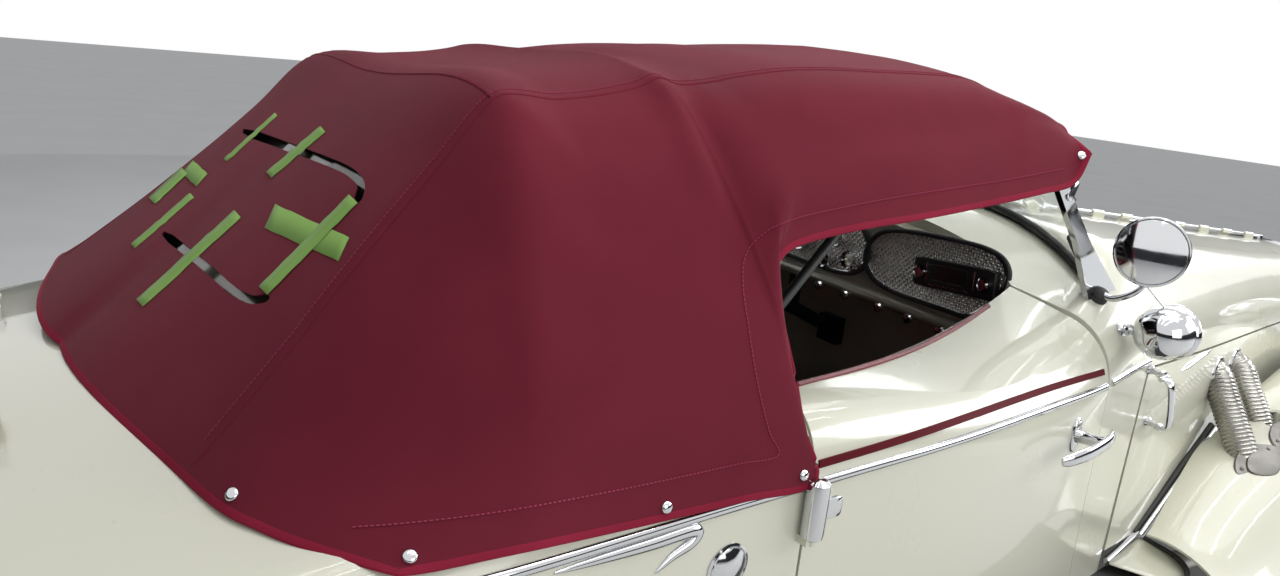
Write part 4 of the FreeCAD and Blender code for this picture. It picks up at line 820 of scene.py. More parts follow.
def make_snaps():
    levels = ((1, -1), (1, 2), (0.93, 4.2), (0.7, 6), (0.3, 6.8), (0, 7))
    profile = [(SNAP_RADIUS * share, height / 1000) for share, height in levels]
    parts = []
    for place, normal in filter(None, (photo_point(TOP_SKIN, pixel) for pixel in SNAP_PIXELS)):
        parts.append(turn_data(profile, place, normal, 20))
        parts.append(turn_data(profile, mirror(place), mirror(normal), 20))
    return merged("hem_snaps", parts, "chrome")


# Masking tape over the slits: ends in photograph pixels and width in pixels
TAPES = (((226, 161), (277, 115), 4), ((270, 176), (324, 130), 8), ((153, 202), (218, 141), 9),
    ((134, 247), (193, 196), 6), ((141, 304), (239, 215), 10), ((265, 292), (355, 200), 12),
    ((271, 217), (345, 250), 26), ((180, 160), (203, 181), 17))


def make_tapes():
    parts = []
    steps, lanes = 14, 3
    for number, (start, end, width) in enumerate(TAPES):
        a, b = Vector(start), Vector(end)
        ahead = (b - a).normalized()
        across = Vector((-ahead.y, ahead.x)) * width / 2
        verts = []
        for i in range(steps + 1):
            wander = 1.6 / width * noise.noise(Vector((number * 3.1, i * 0.7, 0)))
            pixels = [a.lerp(b, i / steps) + across * (j - 1 + wander) for j in range(lanes)]
            row = [photo_point(TOP_SKIN, pixel) for pixel in pixels]
            if None in row:
                continue
            for pixel, (place, normal) in zip(pixels, row):
                crinkle = 0.0006 * noise.noise(Vector((pixel.x * 0.2, pixel.y * 0.2, number)))
                verts.append(place + normal * (FABRIC / 2 + 0.0012 + 0.0005 * (number % 3) + crinkle))
        faces = [tuple(reversed(face[1:] + face[:1])) for face in sheet_faces(len(verts) // lanes, lanes)]
        parts.append((verts, faces))
    tape = merged("masking_tapes", parts, "tape")
    thicken(tape, 0.0004)
    return tape


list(make_top_trim())
make_snaps()
make_tapes()


# Trim of the body sides

# Y and Z of the belt line
BELT = ((-0.600, 0.975), (-0.400, 0.962), (-0.200, 0.947), (0.250, 0.927), (0.700, 0.910), (1.050, 0.905),
    (1.400, 0.900), (1.700, 0.880), (1.950, 0.842))


def belt_height(y):
    for (y0, z0), (y1, z1) in zip(BELT, BELT[1:]):
        if y <= y1:
            return z0 + (z1 - z0) * (y - y0) / (y1 - y0)
    return BELT[-1][1]


def evened(values, passes=4):
    """The same run of vectors with the steps of the surface below averaged out."""
    for _ in range(passes):
        inner = [(a + b * 2 + c) / 4 for a, b, c in zip(values, values[1:], values[2:])]
        values = [values[0]] + inner + [values[-1]]
    return values


def belt_run(node, side, start, end, above=0.0):
    """Points and normals on the skin of one node, along the belt line or a little above it."""
    count = round((end - start) / 0.02)
    stations = [start + (end - start) * i / count for i in range(count + 1)]
    points, normals = side_line(skin(node), side, [(y, belt_height(y) + above) for y in stations])
    kept = [(p, n) for p, n in zip(points, normals) if abs(n.x) > 0.45]
    return evened([p for p, _ in kept]), [n.normalized() for n in evened([n for _, n in kept])]


def flipped(vector, side):
    """The right side's vector, or its mirror image on the left side."""
    return vector if side < 0 else mirror(vector)


def pixel_path(nodes, pixels, side):
    """Points and normals of the panels under a pixel path, or their mirror images."""
    found = filter(None, [photo_point(skin(*nodes), pixel) for pixel in pixels])
    points, normals = (catmull(values, 6) for values in zip(*found))
    return [flipped(p, side) for p in points], [flipped(n.normalized(), side) for n in normals]


def surface_axes(normal):
    """Rearward, upward and outward directions on a panel."""
    rear = (Y - normal * Y.dot(normal)).normalized()
    up = (Z - normal * Z.dot(normal) - rear * Z.dot(rear)).normalized()
    return rear, up, normal


def squared(angle, power):
    """A point of the unit circle, drawn out towards a square by a power above 2."""
    c, s = math.cos(angle), math.sin(angle)
    return math.copysign(abs(c) ** (2 / power), c), math.copysign(abs(s) ** (2 / power), s)


def stack_data(centre, axes, half, levels, power=2.0, segments=32):
    """A closed form of oval rings: levels of (share of the half sizes, height in millimetres)."""
    u, v, n = axes
    verts = []
    for share, height in levels:
        for angle in angles(segments):
            c, s = squared(angle, power)
            flat = centre + u * (half[0] * share * c) + v * (half[1] * share * s)
            verts.append(flat + n * (height / 1000))
    return verts, ring_faces(len(levels), segments)


ROUND_PLATE = ((1, -1), (1, 2), (0.93, 4.5), (0.8, 5.8), (0.05, 6.2))


def taper(start, end=None):
    end = start if end is None else end

    def size(t):
        return min(1.0, 0.25 + t / start if start else 1.0, 0.25 + (1 - t) / end if end else 1.0)
    return size


def make_belt(name, side):
    strip = bead_profile(0.017, 0.0065, 6)
    door = f"door_{name}"
    for part, node, body, start, end in (("cowl", "cowl", "car", -0.440, -0.228),
            ("door", door, door, -0.200, 0.692), ("tub", "body_tub", "car", 0.716, 1.950)):
        points, normals = belt_run(node, side, start, end)
        size = taper(0, 0.08) if part == "tub" else None
        sweep(f"belt_strip_{part}_{name}", points, strip, "chrome", body, normals, size)
    points, normals = belt_run(door, side, -0.190, 0.688, 0.0315)
    flat = [(-0.0068, -0.0015), (0.0068, -0.0015), (0.0062, 0.0032), (-0.0062, 0.0032)]
    sweep(f"coach_stripe_{name}", points, flat, "stripe", door, normals)


# Middle of the door handle's grip from its foot: outward, rearward and upward in millimetres
HANDLE_GRIP = ((49, -58, 5), (57, -38, 4), (61, 0, 0), (60, 58, -5), (50, 108, -12), (39, 130, -18))
# Height of each side's two door hinges
HINGE_HEIGHTS = (0.600, 0.876)


def make_handles(name, side):
    body = f"door_{name}"
    place, normal = side_point(skin(body), side, -0.078, 0.866)
    rear, up, out = surface_axes(normal)
    parts = [stack_data(place, (up, rear, out), (0.038, 0.0165), ROUND_PLATE, 2.4),
        lathe(((16, 0), (13.5, 15), (12, 36), (15, 46), (16, 58), (12, 64), (0, 66)), place, out, 24)]
    path = catmull([place + out * (away / 1000) + rear * (back / 1000) + up * (rise / 1000)
        for away, back, rise in HANDLE_GRIP], 6)
    blade = [(0.0078 * math.cos(a), 0.0160 * math.sin(a)) for a in angles(16)]
    parts.append(sweep_data(path, blade, [up] * len(path),
        lambda t: 0.35 + 0.65 * math.sin(math.pi * min(1.0, max(0.0, 0.12 + 0.86 * t))) ** 0.45))
    screw = place + up * 0.025 + out * 0.005
    parts.append(lathe(((7, 0), (6.5, 3.5), (1.5, 4.5), (0, 4.5)), screw, out, 14))
    merged(f"door_handle_{name}", parts, "chrome", body)
    hinge = []
    for z in HINGE_HEIGHTS:
        place, normal = side_point(skin(body), side, 0.672, z)
        hinge.append(stack_data(place, surface_axes(normal), (0.024, 0.018),
            ((1, -1), (1, 3), (0.9, 4.5), (0.05, 5)), 5))
        hinge.append(lathe(((0, -52), (11, -51), (18, -45), (19, -38), (19, 38), (18, 45), (11, 51),
            (0, 52)), (side * 0.758, 0.700, z), (0, 0, 1), 24))
    merged(f"door_hinges_{name}", hinge, "chrome", body)


# Trim on the right side, in photograph pixels
SPEAR_PIXELS = ((554, 573), (600, 559), (650, 544), (694, 530), (692, 541), (672, 556), (655, 573))
HOOD_SPEAR_PIXELS = ((1181, 371), (1196, 360), (1211, 349))
FENDER_BEAD_TOP = (1214, 426)
LATCH_TOP, LATCH_BOTTOM = (1149, 369), (1146, 421)
# Foot of the joint between body and front fender, in metres on the right side
SILL_TUBE = ((-0.612, -0.582, 0.498), (-0.624, -0.500, 0.484), (-0.638, -0.415, 0.472))
APRON_LIP = ((-0.618, -0.590, 0.492), (-0.700, -0.612, 0.474), (-0.752, -0.570, 0.468),
    (-0.770, -0.500, 0.462))
# Padded roll on the door's upper edge, in photograph pixels
DOOR_ROLL_PIXELS = ((797, 385), (850, 371), (905, 353), (945, 334), (968, 320), (988, 306))


def make_door_rolls(name, side):
    points, normals = pixel_path(("door_right",), DOOR_ROLL_PIXELS, side)
    sweep(f"door_roll_{name}", points, circle(0.0055, 10), "leather", f"door_{name}", normals)


def make_windscreen_gasket():
    pane = NODES["windscreen_glass"]
    corners = [pane.matrix_world @ v.co for v in pane.data.vertices]
    lowest = {}
    for corner in corners:
        slot = round(corner.x / 0.045)
        if slot not in lowest or corner.z < lowest[slot].z:
            lowest[slot] = corner
    points = [lowest[slot].copy() for slot in sorted(lowest)]
    sweep("windscreen_gasket", catmull(points, 3), circle(0.0115, 10), "gasket")


def make_quarter_spear(name, side):
    points, normals = pixel_path(("body_tub",), SPEAR_PIXELS, side)
    sweep(f"quarter_spear_{name}", points, bead_profile(0.017, 0.007, 6), "chrome", "car", normals,
        lambda t: 0.25 + 1.1 * math.sin(math.pi * t) ** 0.8)


def make_filler(name, side):
    """Round cap behind the door; on the right side it is the fuel filler."""
    place, normal = side_point(skin("body_tub"), side, 0.857, 0.808)
    levels = ((1, -1), (1, 2), (0.9, 3.5), (0.86, 1), (0.82, 4), (0.5, 10), (0.1, 12))
    cap = stack_data(place, surface_axes(normal), (0.040, 0.040), levels, 2, 40)
    merged(f"fuel_filler_{name}" if side < 0 else f"quarter_cap_{name}", [cap], "chrome")


def make_hood_spear(name, side):
    points, normals = pixel_path(("hood_sides", "cowl", "front_fenders"), HOOD_SPEAR_PIXELS, side)
    sweep(f"hood_spear_{name}", points, bead_profile(0.011, 0.007, 6), "chrome", "car", normals,
        taper(0.25))


def make_fender_joint(name, side):
    """Bright bead and dark welt along the joint between body and front fender."""
    fender = skin("hood_sides", "front_fenders", "cowl", "running_boards")
    start = photo_point(fender, FENDER_BEAD_TOP)[0]
    top, bottom = flipped(start, side), flipped(Vector(SILL_TUBE[0]), side)
    facing = flipped((CAMERA_AT - start).normalized(), side)
    beside = (bottom - top).cross(facing).normalized() * 0.0075
    if beside.x * side < 0:
        beside = -beside
    lifted = catmull([top + facing * 0.010, top.lerp(bottom, 0.5) + facing * 0.016,
        bottom + facing * 0.008], 8)
    sweep(f"fender_bead_{name}", [p + beside for p in lifted], circle(0.0085, 12), "chrome")
    sweep(f"fender_welt_{name}", [p - beside for p in lifted], circle(0.0070, 12), "gasket")


def make_apron(name, side):
    """Sill tube, the welt ahead of it and a thin painted sheet between them, a little lower."""
    foot, lip = (catmull([flipped(Vector(p), side) for p in line], 6) for line in (SILL_TUBE, APRON_LIP))
    sweep(f"sill_tube_{name}", foot, circle(0.0095, 14), "chrome")
    sweep(f"apron_welt_{name}", lip, circle(0.0065, 10), "gasket")
    count = len(foot)
    outer = [lip[round(i * (len(lip) - 1) / (count - 1))] for i in range(count)]
    drop = Vector((0, 0, -0.004))
    rows = [[a.lerp(b, j / 4) + drop for j in range(5)] for a, b in zip(foot, outer)]
    faces = [(i * 5 + j, i * 5 + j + 1, i * 5 + j + 6, i * 5 + j + 5)
        for i in range(count - 1) for j in range(4)]
    sheet = add_mesh(f"fender_apron_{name}", [p for row in rows for p in row], faces, "cream")
    thicken(sheet, 0.0015)


def make_side_ornaments(name, side):
    for make in (make_quarter_spear, make_filler, make_hood_spear, make_fender_joint, make_apron):
        make(name, side)


def make_latch(name, side):
    hood = skin("hood_sides", "cowl")
    top, bottom = (flipped(photo_point(hood, pixel)[0], side) for pixel in (LATCH_TOP, LATCH_BOTTOM))
    out = flipped(Vector((-1, 0.18, 0)), side).normalized()
    down = (bottom - top).normalized()
    parts = [lathe(((13, -2), (12, 6), (8, 10), (7, 32), (10, 36), (8, 43), (0, 44)), place, out, 18)
        for place in (top, bottom)]
    path = catmull([end + out * away + down * drop for end, away, drop in ((top, 0.028, 0.004),
        (top, 0.050, 0.012), (top, 0.062, 0.035), (bottom, 0.062, -0.022), (bottom, 0.050, -0.004),
        (bottom, 0.028, 0.004))], 6)
    bar = [(0.0095 * math.cos(a), 0.0052 * math.sin(a)) for a in angles(12)]
    parts.append(sweep_data(path, bar, [out] * len(path)))
    pivot = top + out * 0.040 + down * 0.008
    parts.append(lathe(((0, -12), (7, -11), (10, 0), (7, 11), (0, 12)), pivot, out.cross(down), 14))
    merged(f"hood_latch_{name}", parts, "chrome")


# Middle of the rear pipe on the right side; the front pipe lies a step ahead
PIPE_PATH = ((-0.455, -0.990, 0.846), (-0.512, -0.986, 0.842), (-0.560, -0.966, 0.790),
    (-0.612, -0.948, 0.724), (-0.662, -0.934, 0.656), (-0.704, -0.928, 0.592), (-0.716, -0.927, 0.553))
PIPE_STEP, PIPE_SHIFT = 0.15, 0.015
PIPE_RADIUS, RIB_PITCH, RIB_DEPTH, COLLAR_RADIUS = 0.0350, 0.0105, 0.0038, 0.0435
FOOT_REACH = 0.062


def pipe_tube(control):
    """A ribbed tube along the pipe's path."""
    smooth = catmull(control, 24)
    points, _ = resampled(smooth, [Y] * len(smooth), RIB_PITCH / 5)
    verts = []
    for i, (point, (_, sideways, up)) in enumerate(zip(points, frames_along(points))):
        size = PIPE_RADIUS + RIB_DEPTH * (0.5 + 0.5 * math.cos(2 * math.pi * i / 5)) ** 0.6
        verts += [point + turned(sideways, up, a) * size for a in angles(36)]
    return verts, ring_faces(len(points), 36)


def pipe_collar(start, side):
    """A ring on the hood side round the hole of the pipe."""
    places, normals = zip(*[side_point(skin("hood_sides"), side, start.y + COLLAR_RADIUS * math.cos(a),
        start.z + COLLAR_RADIUS * math.sin(a)) for a in angles(36)])
    return sweep_data(places, circle(0.0050, 8), normals, None, True)


def pipe_flange(end):
    """The plate with four bolts where the pipe goes into the fender."""
    hits = [outward(skin("front_fenders").ray_cast(Vector((end.x + FOOT_REACH * math.cos(a),
        end.y + FOOT_REACH * math.sin(a), 1.0)), -Z), -Z) for a in angles(8)]
    places, normals = zip(*filter(None, hits))
    place = sum(places, Vector()) / len(places)
    rear, up, out = surface_axes(sum(normals, Vector()).normalized())
    levels = ((1, -2), (1, 3), (0.96, 5.5), (0.62, 6.5), (0.58, 12), (0.5, 13))
    parts = [stack_data(place, (rear, up, out), (0.082, 0.060), levels, 1.7, 40)]
    for turn in (0.35, 2.5, 3.9, 5.6):
        spot = place + rear * 0.060 * math.cos(turn) + up * 0.045 * math.sin(turn) + out * 0.005
        parts.append(lathe(((5.5, 0), (5.5, 3), (3, 5), (0, 5.5)), spot, out, 6))
    return parts


def make_pipes(name, side):
    controls = [[Vector((side * (-x - PIPE_SHIFT * number), y - PIPE_STEP * number, z))
        for x, y, z in PIPE_PATH] for number in range(2)]
    pipe = merged(f"flex_pipes_{name}", [pipe_tube(control) for control in controls], "satin")
    pipe.data.shade_smooth()
    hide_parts("side_pipes")
    merged(f"pipe_collars_{name}", [pipe_collar(control[0], side) for control in controls], "chrome")
    flanges = [part for control in controls for part in pipe_flange(control[5])]
    merged(f"pipe_flanges_{name}", flanges, "flange")


# Feet of the door mirror and the cowl lamp, in photograph pixels
MIRROR_BASE, LAMP_BASE = (1098, 297), (1121, 329)
MIRROR_AT = Vector((-0.660, -0.257, 1.237))
LAMP_AT, LAMP_RADIUS = Vector((-0.700, -0.296, 1.070)), 0.0575


def cowl_foot(pixel, side):
    """Point and outward normal of the cowl under a pixel, or their mirror images."""
    found = photo_point(skin("cowl", "door_right", "body_tub"), pixel)
    return [flipped(vector, side) for vector in found]


def make_mirror(name, centre, facing, side):
    foot, out = cowl_foot(MIRROR_BASE, side)
    socket = lathe(((20.5, -2), (20.5, 4), (17, 9), (18, 13), (15, 18), (9, 22), (0, 23)), foot, out, 28)
    merged(f"mirror_foot_{name}", [socket], "gasket")
    arm = [flipped(Vector(place), side) for place in ((-0.602, -0.256, 1.120), (-0.634, -0.262, 1.138),
        (-0.652, -0.270, 1.160), (-0.661, -0.280, 1.190))]
    path = catmull([foot + out * 0.012, *arm, centre - facing * 0.028], 7)
    parts = [sweep_data(path, circle(0.0068, 12), None, lambda t: 1.15 - 0.25 * t)]
    parts.append(lathe(((0, -34), (20, -33), (45, -26), (62, -14), (71.5, -2), (73.5, 4), (72.5, 8.5),
        (69.5, 9.5), (68, 7), (67, 4.5), (0, 4.5)), centre, facing, 56))
    knuckle = centre - facing * 0.030
    parts.append(lathe(((0, -12), (10, -10), (12, 0), (10, 10), (0, 12)), knuckle, facing, 20))
    head = merged(f"mirror_{name}", parts, "chrome")
    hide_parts("mirrors")
    pane = lathe(((67.2, 5), (67.2, 6.2), (66, 7), (0, 7.2)), centre, facing, 48)
    merged(f"mirror_glass_{name}", [pane], "silver")


def make_cowl_lamp(name, stay_end, side):
    """Lamp on a stem, with a thin stay up to the mirror."""
    lamp = flipped(LAMP_AT, side)
    ahead = flipped(Vector((-0.05, -1, 0.02)), side).normalized()
    r = LAMP_RADIUS
    shell = [turn_data(((0, -0.052), (r * 0.35, -0.050), (r * 0.66, -0.041), (r * 0.88, -0.025),
        (r * 0.98, -0.006), (r, 0.012), (r * 0.97, 0.030), (r * 1.02, 0.034), (r * 1.03, 0.044),
        (r * 0.97, 0.049), (r * 0.90, 0.046), (0, 0.042)), lamp, ahead, 48)]
    foot, out = cowl_foot(LAMP_BASE, side)
    joint = lamp - (lamp - foot).normalized() * r * 0.82
    stem = catmull([foot, foot.lerp(joint, 0.5) + Vector((0, 0, -0.004)), joint], 6)
    shell.append(sweep_data(stem, circle(0.0085, 14), None, lambda t: 0.8 + 0.5 * abs(t - 0.45)))
    shell.append(lathe(((16, -2), (16, 3), (11, 7), (9, 10), (0, 10)), foot, out, 24))
    shell.append(lathe(((9, -4), (12.5, -3), (12.5, 3), (9, 4)), foot.lerp(joint, 0.45), joint - foot, 20))
    shell.append(sweep_data([lamp + Vector((0, 0.005, r * 0.9)), stay_end], circle(0.0028, 10)))
    body = merged(f"cowl_lamp_{name}", shell, "chrome")
    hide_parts("cowl_lamps")
    pane = turn_data(((r * 0.93, 0.0465), (r * 0.90, 0.050), (r * 0.7, 0.056), (r * 0.35, 0.060),
        (0, 0.061)), lamp, ahead, 40)
    merged(f"cowl_lamp_glass_{name}", [pane], "glass")


def make_mirrors_and_lamps(name, side):
    centre = flipped(MIRROR_AT, side)
    facing = flipped(Vector((-0.42, 0.90, 0.10)), side).normalized()
    make_mirror(name, centre, facing, side)
    make_cowl_lamp(name, centre - facing * 0.006 + Vector((0, 0, -0.066)), side)


def ray_at_x(pixel, x):
    ray = photo_ray(pixel)
    return CAMERA_AT + ray * ((x - CAMERA_AT.x) / ray.x)


def ray_at_y(pixel, y):
    ray = photo_ray(pixel)
    return CAMERA_AT + ray * ((y - CAMERA_AT.y) / ray.y)


# Plate of the header's clamp and its knobs with their radii; places in photograph pixels
HEADER_PLATE = (1073, 190)
HEADER_KNOBS = (((1062, 184), 0.010), ((1066, 193), 0.012), ((1070, 200), 0.010))


def make_header_fittings(name, side):
    at = flipped(ray_at_x(HEADER_PLATE, -0.592), side)
    axes = (Vector((side * -0.15, -0.55, 0.82)).normalized(), Vector((0, 0.83, 0.55)).normalized(),
        Vector((side, 0.1, 0.1)).normalized())
    plate = stack_data(at, axes, (0.024, 0.010), ((1, -1), (1, 1.8), (0.92, 3), (0.05, 3.2)), 6)
    merged(f"header_plate_{name}", [plate], "silver")
    knobs = []
    for pixel, radius in HEADER_KNOBS:
        spot = flipped(ray_at_x(pixel, -0.575), side)
        profile = ((0, -1), (0.8, -0.8), (1, 0), (0.8, 0.8), (0, 1))
        knobs.append(turn_data([(radius * a, radius * b) for a, b in profile], spot, (side, 0.3, 0), 16))
    merged(f"header_clamp_{name}", knobs, "black")


# Cockpit

DASH_Y = -0.138
# The patterned panel's outline and the radio's corners, in photograph pixels
PANEL_PIXELS = ((869, 262), (872, 245), (884, 234), (903, 232), (932, 236), (960, 242), (985, 249),
    (1001, 258), (1008, 272), (1004, 288), (992, 302), (970, 315), (945, 308), (918, 299), (892, 289),
    (876, 278))
RADIO_PIXELS = ((919, 256), (1002, 273), (992, 301), (911, 283))
# Round instruments: X, Z and radius
GAUGES = ((0.262, 1.085, 0.052), (0.120, 1.105, 0.031), (0.155, 1.035, 0.027), (0.372, 1.062, 0.027),
    (0.060, 1.050, 0.024))
KNOB_PLACES = (-0.40, -0.30, -0.20, -0.10, 0.02, 0.12, 0.20, 0.36, 0.44)
LOWER_EDGE = 0.972


def plane_outline(pixels, y, per_span=5):
    return catmull([ray_at_y(pixel, y) for pixel in pixels], per_span, closed=True)


def slab_data(outline, thickness):
    """A flat plate facing the rear of the car, from its closed outline."""
    middle = sum(outline, Vector()) / len(outline)
    count = len(outline)
    shift = Vector((0, thickness, 0))
    verts = [p.copy() for p in outline] + [p + shift for p in outline] + [middle + shift, middle.copy()]
    faces = []
    for i in range(count):
        k = (i + 1) % count
        faces += [(i, k, count + k, count + i), (count + i, count + k, 2 * count), (k, i, 2 * count + 1)]
    return verts, faces


def gauge_parts(centre, radius):
    """Bezel, face, marks with the pointer, and hub of one instrument."""
    back = Y
    bezel = turn_data(((radius, -0.004), (radius * 1.02, 0.006), (radius * 0.97, 0.012),
        (radius * 0.88, 0.010), (radius * 0.86, 0.004)), centre, back, 40)
    face = turn_data(((radius * 0.9, 0.0), (radius * 0.88, 0.003), (0, 0.003)), centre, back, 36)
    ticks = []
    for i in range(25):
        a = math.radians(-225 + 270 * i / 24)
        long = 0.14 if i % 4 == 0 else 0.07
        out = Vector((math.cos(a), 0, math.sin(a)))
        ticks.append(block_data(centre + back * 0.0036 + out * radius * (0.80 - long / 2),
            (radius * long, 0.0008, radius * 0.022), (out, back, out.cross(back))))
    a = math.radians(200)
    out = Vector((math.cos(a), 0, math.sin(a)))
    ticks.append(block_data(centre + back * 0.0052 + out * radius * 0.28,
        (radius * 0.72, 0.0008, radius * 0.03), (out, back, out.cross(back))))
    hub = turn_data(((radius * 0.09, 0.003), (radius * 0.08, 0.007), (0, 0.0075)), centre, back, 16)
    return bezel, face, ticks, hub


def make_dash_panels():
    right = plane_outline(PANEL_PIXELS, DASH_Y)
    left = [mirror(p) for p in reversed(right)]
    for name, outline in (("right", right), ("left", left)):
        merged(f"dash_panel_{name}", [slab_data(outline, 0.004)], "diamond", smooth=False)
        rim = [p + Vector((0, 0.005, 0)) for p in outline]
        centre = sum(rim, Vector()) / len(rim)
        outer, inner = ([centre + (p - centre) * share for p in rim] for share in (1.035, 0.985))
        merged(f"dash_bead_{name}", [hoop_data(outer, circle(0.0062, 10), Y)], "gasket")
        merged(f"dash_ring_{name}", [hoop_data(inner, circle(0.0022, 8), Y)], "chrome")


def make_radio():
    back = Y
    corners = [ray_at_y(pixel, DASH_Y + 0.012) for pixel in RADIO_PIXELS]
    centre = sum(corners, Vector()) / 4
    along = (corners[0] + corners[3] - corners[1] - corners[2]).normalized()
    wide = (corners[0] + corners[3] - corners[1] - corners[2]).length / 2
    tall = (corners[0] + corners[1] - corners[2] - corners[3]).length / 2
    up = along.cross(back).normalized()
    up = up if up.z > 0 else -up
    axes = (along, up, back)
    levels = ((1, -10), (1, 4), (0.97, 7), (0.05, 7))
    merged("radio", [stack_data(centre, axes, (wide / 2, tall / 2), levels, 12, 48)], "black")
    spot = centre + along * wide * 0.06 + up * tall * 0.06
    levels = ((1, 6), (1, 9), (0.95, 9.8), (0.05, 9.8))
    merged("radio_display", [stack_data(spot, axes, (wide * 0.24, tall * 0.27), levels, 12, 40)],
        "black_gloss")
    bright = []
    for place in (-0.38, 0.40):
        spot = centre + along * wide * place
        bright.append(turn_data(((tall * 0.24, 0.006), (tall * 0.23, 0.016), (tall * 0.17, 0.019),
            (tall * 0.16, 0.017), (0, 0.017)), spot, back, 28))
    for i in range(6):
        spot = centre + along * wide * (0.24 - 0.085 * i) - up * tall * 0.36
        bright.append(stack_data(spot, axes, (wide * 0.032, tall * 0.035),
            ((1, 6), (0.95, 10), (0.05, 10.5)), 6, 16))
    for place in (-0.26, 0.32):
        spot = centre + along * wide * place + up * tall * 0.03
        levels = ((1, 6), (1, 9), (0.1, 9.5))
        bright.append(stack_data(spot, axes, (wide * 0.007, tall * 0.33), levels, 8, 16))
    merged("radio_brights", bright, "chrome")


def make_gauges():
    bezels, faces, marks = [], [], []
    for x, z, radius in GAUGES:
        bezel, face, ticks, hub = gauge_parts(Vector((x, DASH_Y + 0.004, z)), radius)
        bezels += [bezel, hub]
        faces.append(face)
        marks += ticks
    merged("gauge_bezels", bezels, "chrome")
    merged("gauge_faces", faces, "black_gloss")
    merged("gauge_marks", marks, "ivory", smooth=False)


def make_dash_edge():
    lip = [Vector((x, DASH_Y + 0.004, LOWER_EDGE + 0.004 * math.cos(x * 3)))
        for x in [-0.50 + 0.02 * i for i in range(51)]]
    profile = [(0.020 * math.cos(a), 0.016 * math.sin(a)) for a in angles(16)]
    # The lower roll takes the darkened cream, painted shade of the dash
    sweep("dash_lower_roll", lip, profile, "shaded_cream", "car", [Z] * len(lip))
    knobs = []
    for x in KNOB_PLACES:
        knobs.append(lathe(((4, 0), (4, 30), (10, 32), (12.5, 38), (11, 44), (0, 46)),
            Vector((x, DASH_Y + 0.006, LOWER_EDGE)), (0, 1, -0.15), 18))
    merged("dash_knobs", knobs, "chrome")


WHEEL_AT = Vector((0.280, 0.100, 0.970))
WHEEL_AXIS = Vector((0, 0.9135, 0.4067)).normalized()
RIM_RADIUS, GRIP_RADIUS, FINGER_DEPTH, FINGERS = 0.180, 0.0128, 0.0022, 36


def make_steering_wheel():
    side = X
    up = WHEEL_AXIS.cross(side).normalized()
    up = up if up.z > 0 else -up
    verts = []
    for a in angles(180):
        out = turned(side, up, a)
        for b in angles(14):
            grip = GRIP_RADIUS
            if math.cos(b) * 0.3 - math.sin(b) > 0.2:
                grip -= FINGER_DEPTH * (0.5 + 0.5 * math.cos(a * FINGERS))
            reach = RIM_RADIUS + grip * math.cos(b)
            verts.append(WHEEL_AT + out * reach + WHEEL_AXIS * grip * math.sin(b))
    rim = merged("steering_rim", [(verts, ring_faces(180, 14, True))], "ivory", "steering_wheel")
    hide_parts("steering_wheel")
    wires = []
    for a in (math.radians(90), math.radians(210), math.radians(330)):
        out = turned(side, up, a)
        across = out.cross(WHEEL_AXIS)
        for shift in (-0.013, -0.0045, 0.0045, 0.013):
            path = catmull([WHEEL_AT - WHEEL_AXIS * 0.012 + out * 0.030 + across * shift * 0.8,
                WHEEL_AT - WHEEL_AXIS * 0.010 + out * 0.100 + across * shift,
                WHEEL_AT + out * 0.176 + across * shift], 5)
            wires.append(sweep_data(path, circle(0.0019, 8)))
    loop = [WHEEL_AT + WHEEL_AXIS * 0.018 + turned(side, up, a) * 0.075 for a in angles(60)]
    wires.append(hoop_data(loop, circle(0.0026, 8), WHEEL_AXIS))
    merged("steering_spokes", wires, "chrome", "steering_wheel")
    hub = [lathe(((36, -34), (40, -20), (38, 0), (33, 12), (30, 16)), WHEEL_AT, WHEEL_AXIS, 40)]
    merged("steering_hub", hub, "ivory", "steering_wheel")
    cap = [lathe(((31, 12), (31, 20), (27, 27), (15, 31), (0, 32)), WHEEL_AT, WHEEL_AXIS, 40)]
    merged("steering_horn_cap", cap, "chrome", "steering_wheel")


def cube_grid(lengths):
    """A cube from -1 to 1 with its faces in grids, all but its length denser towards the edges."""
    built = bmesh.new()
    for axis in range(3):
        u, v = [a for a in range(3) if a != axis]
        for sign in (-1, 1):
            rows = []
            for i in range(lengths[u] + 1):
                row = []
                for j in range(lengths[v] + 1):
                    p = [0.0, 0.0, 0.0]
                    p[axis] = sign
                    p[u] = 2 * i / lengths[u] - 1
                    if u:
                        p[u] = math.sin(p[u] * math.pi / 2 * 0.999)
                    p[v] = math.sin((2 * j / lengths[v] - 1) * math.pi / 2 * 0.999)
                    row.append(built.verts.new(p))
                rows.append(row)
            for i in range(lengths[u]):
                for j in range(lengths[v]):
                    built.faces.new((rows[i][j], rows[i + 1][j], rows[i + 1][j + 1], rows[i][j + 1]))
    bmesh.ops.remove_doubles(built, verts=built.verts, dist=0.0008)
    return built


# Share of the half length and half width that carries the sewn channels
CHANNEL_LENGTH, CHANNEL_WIDTH = 0.86, 0.90


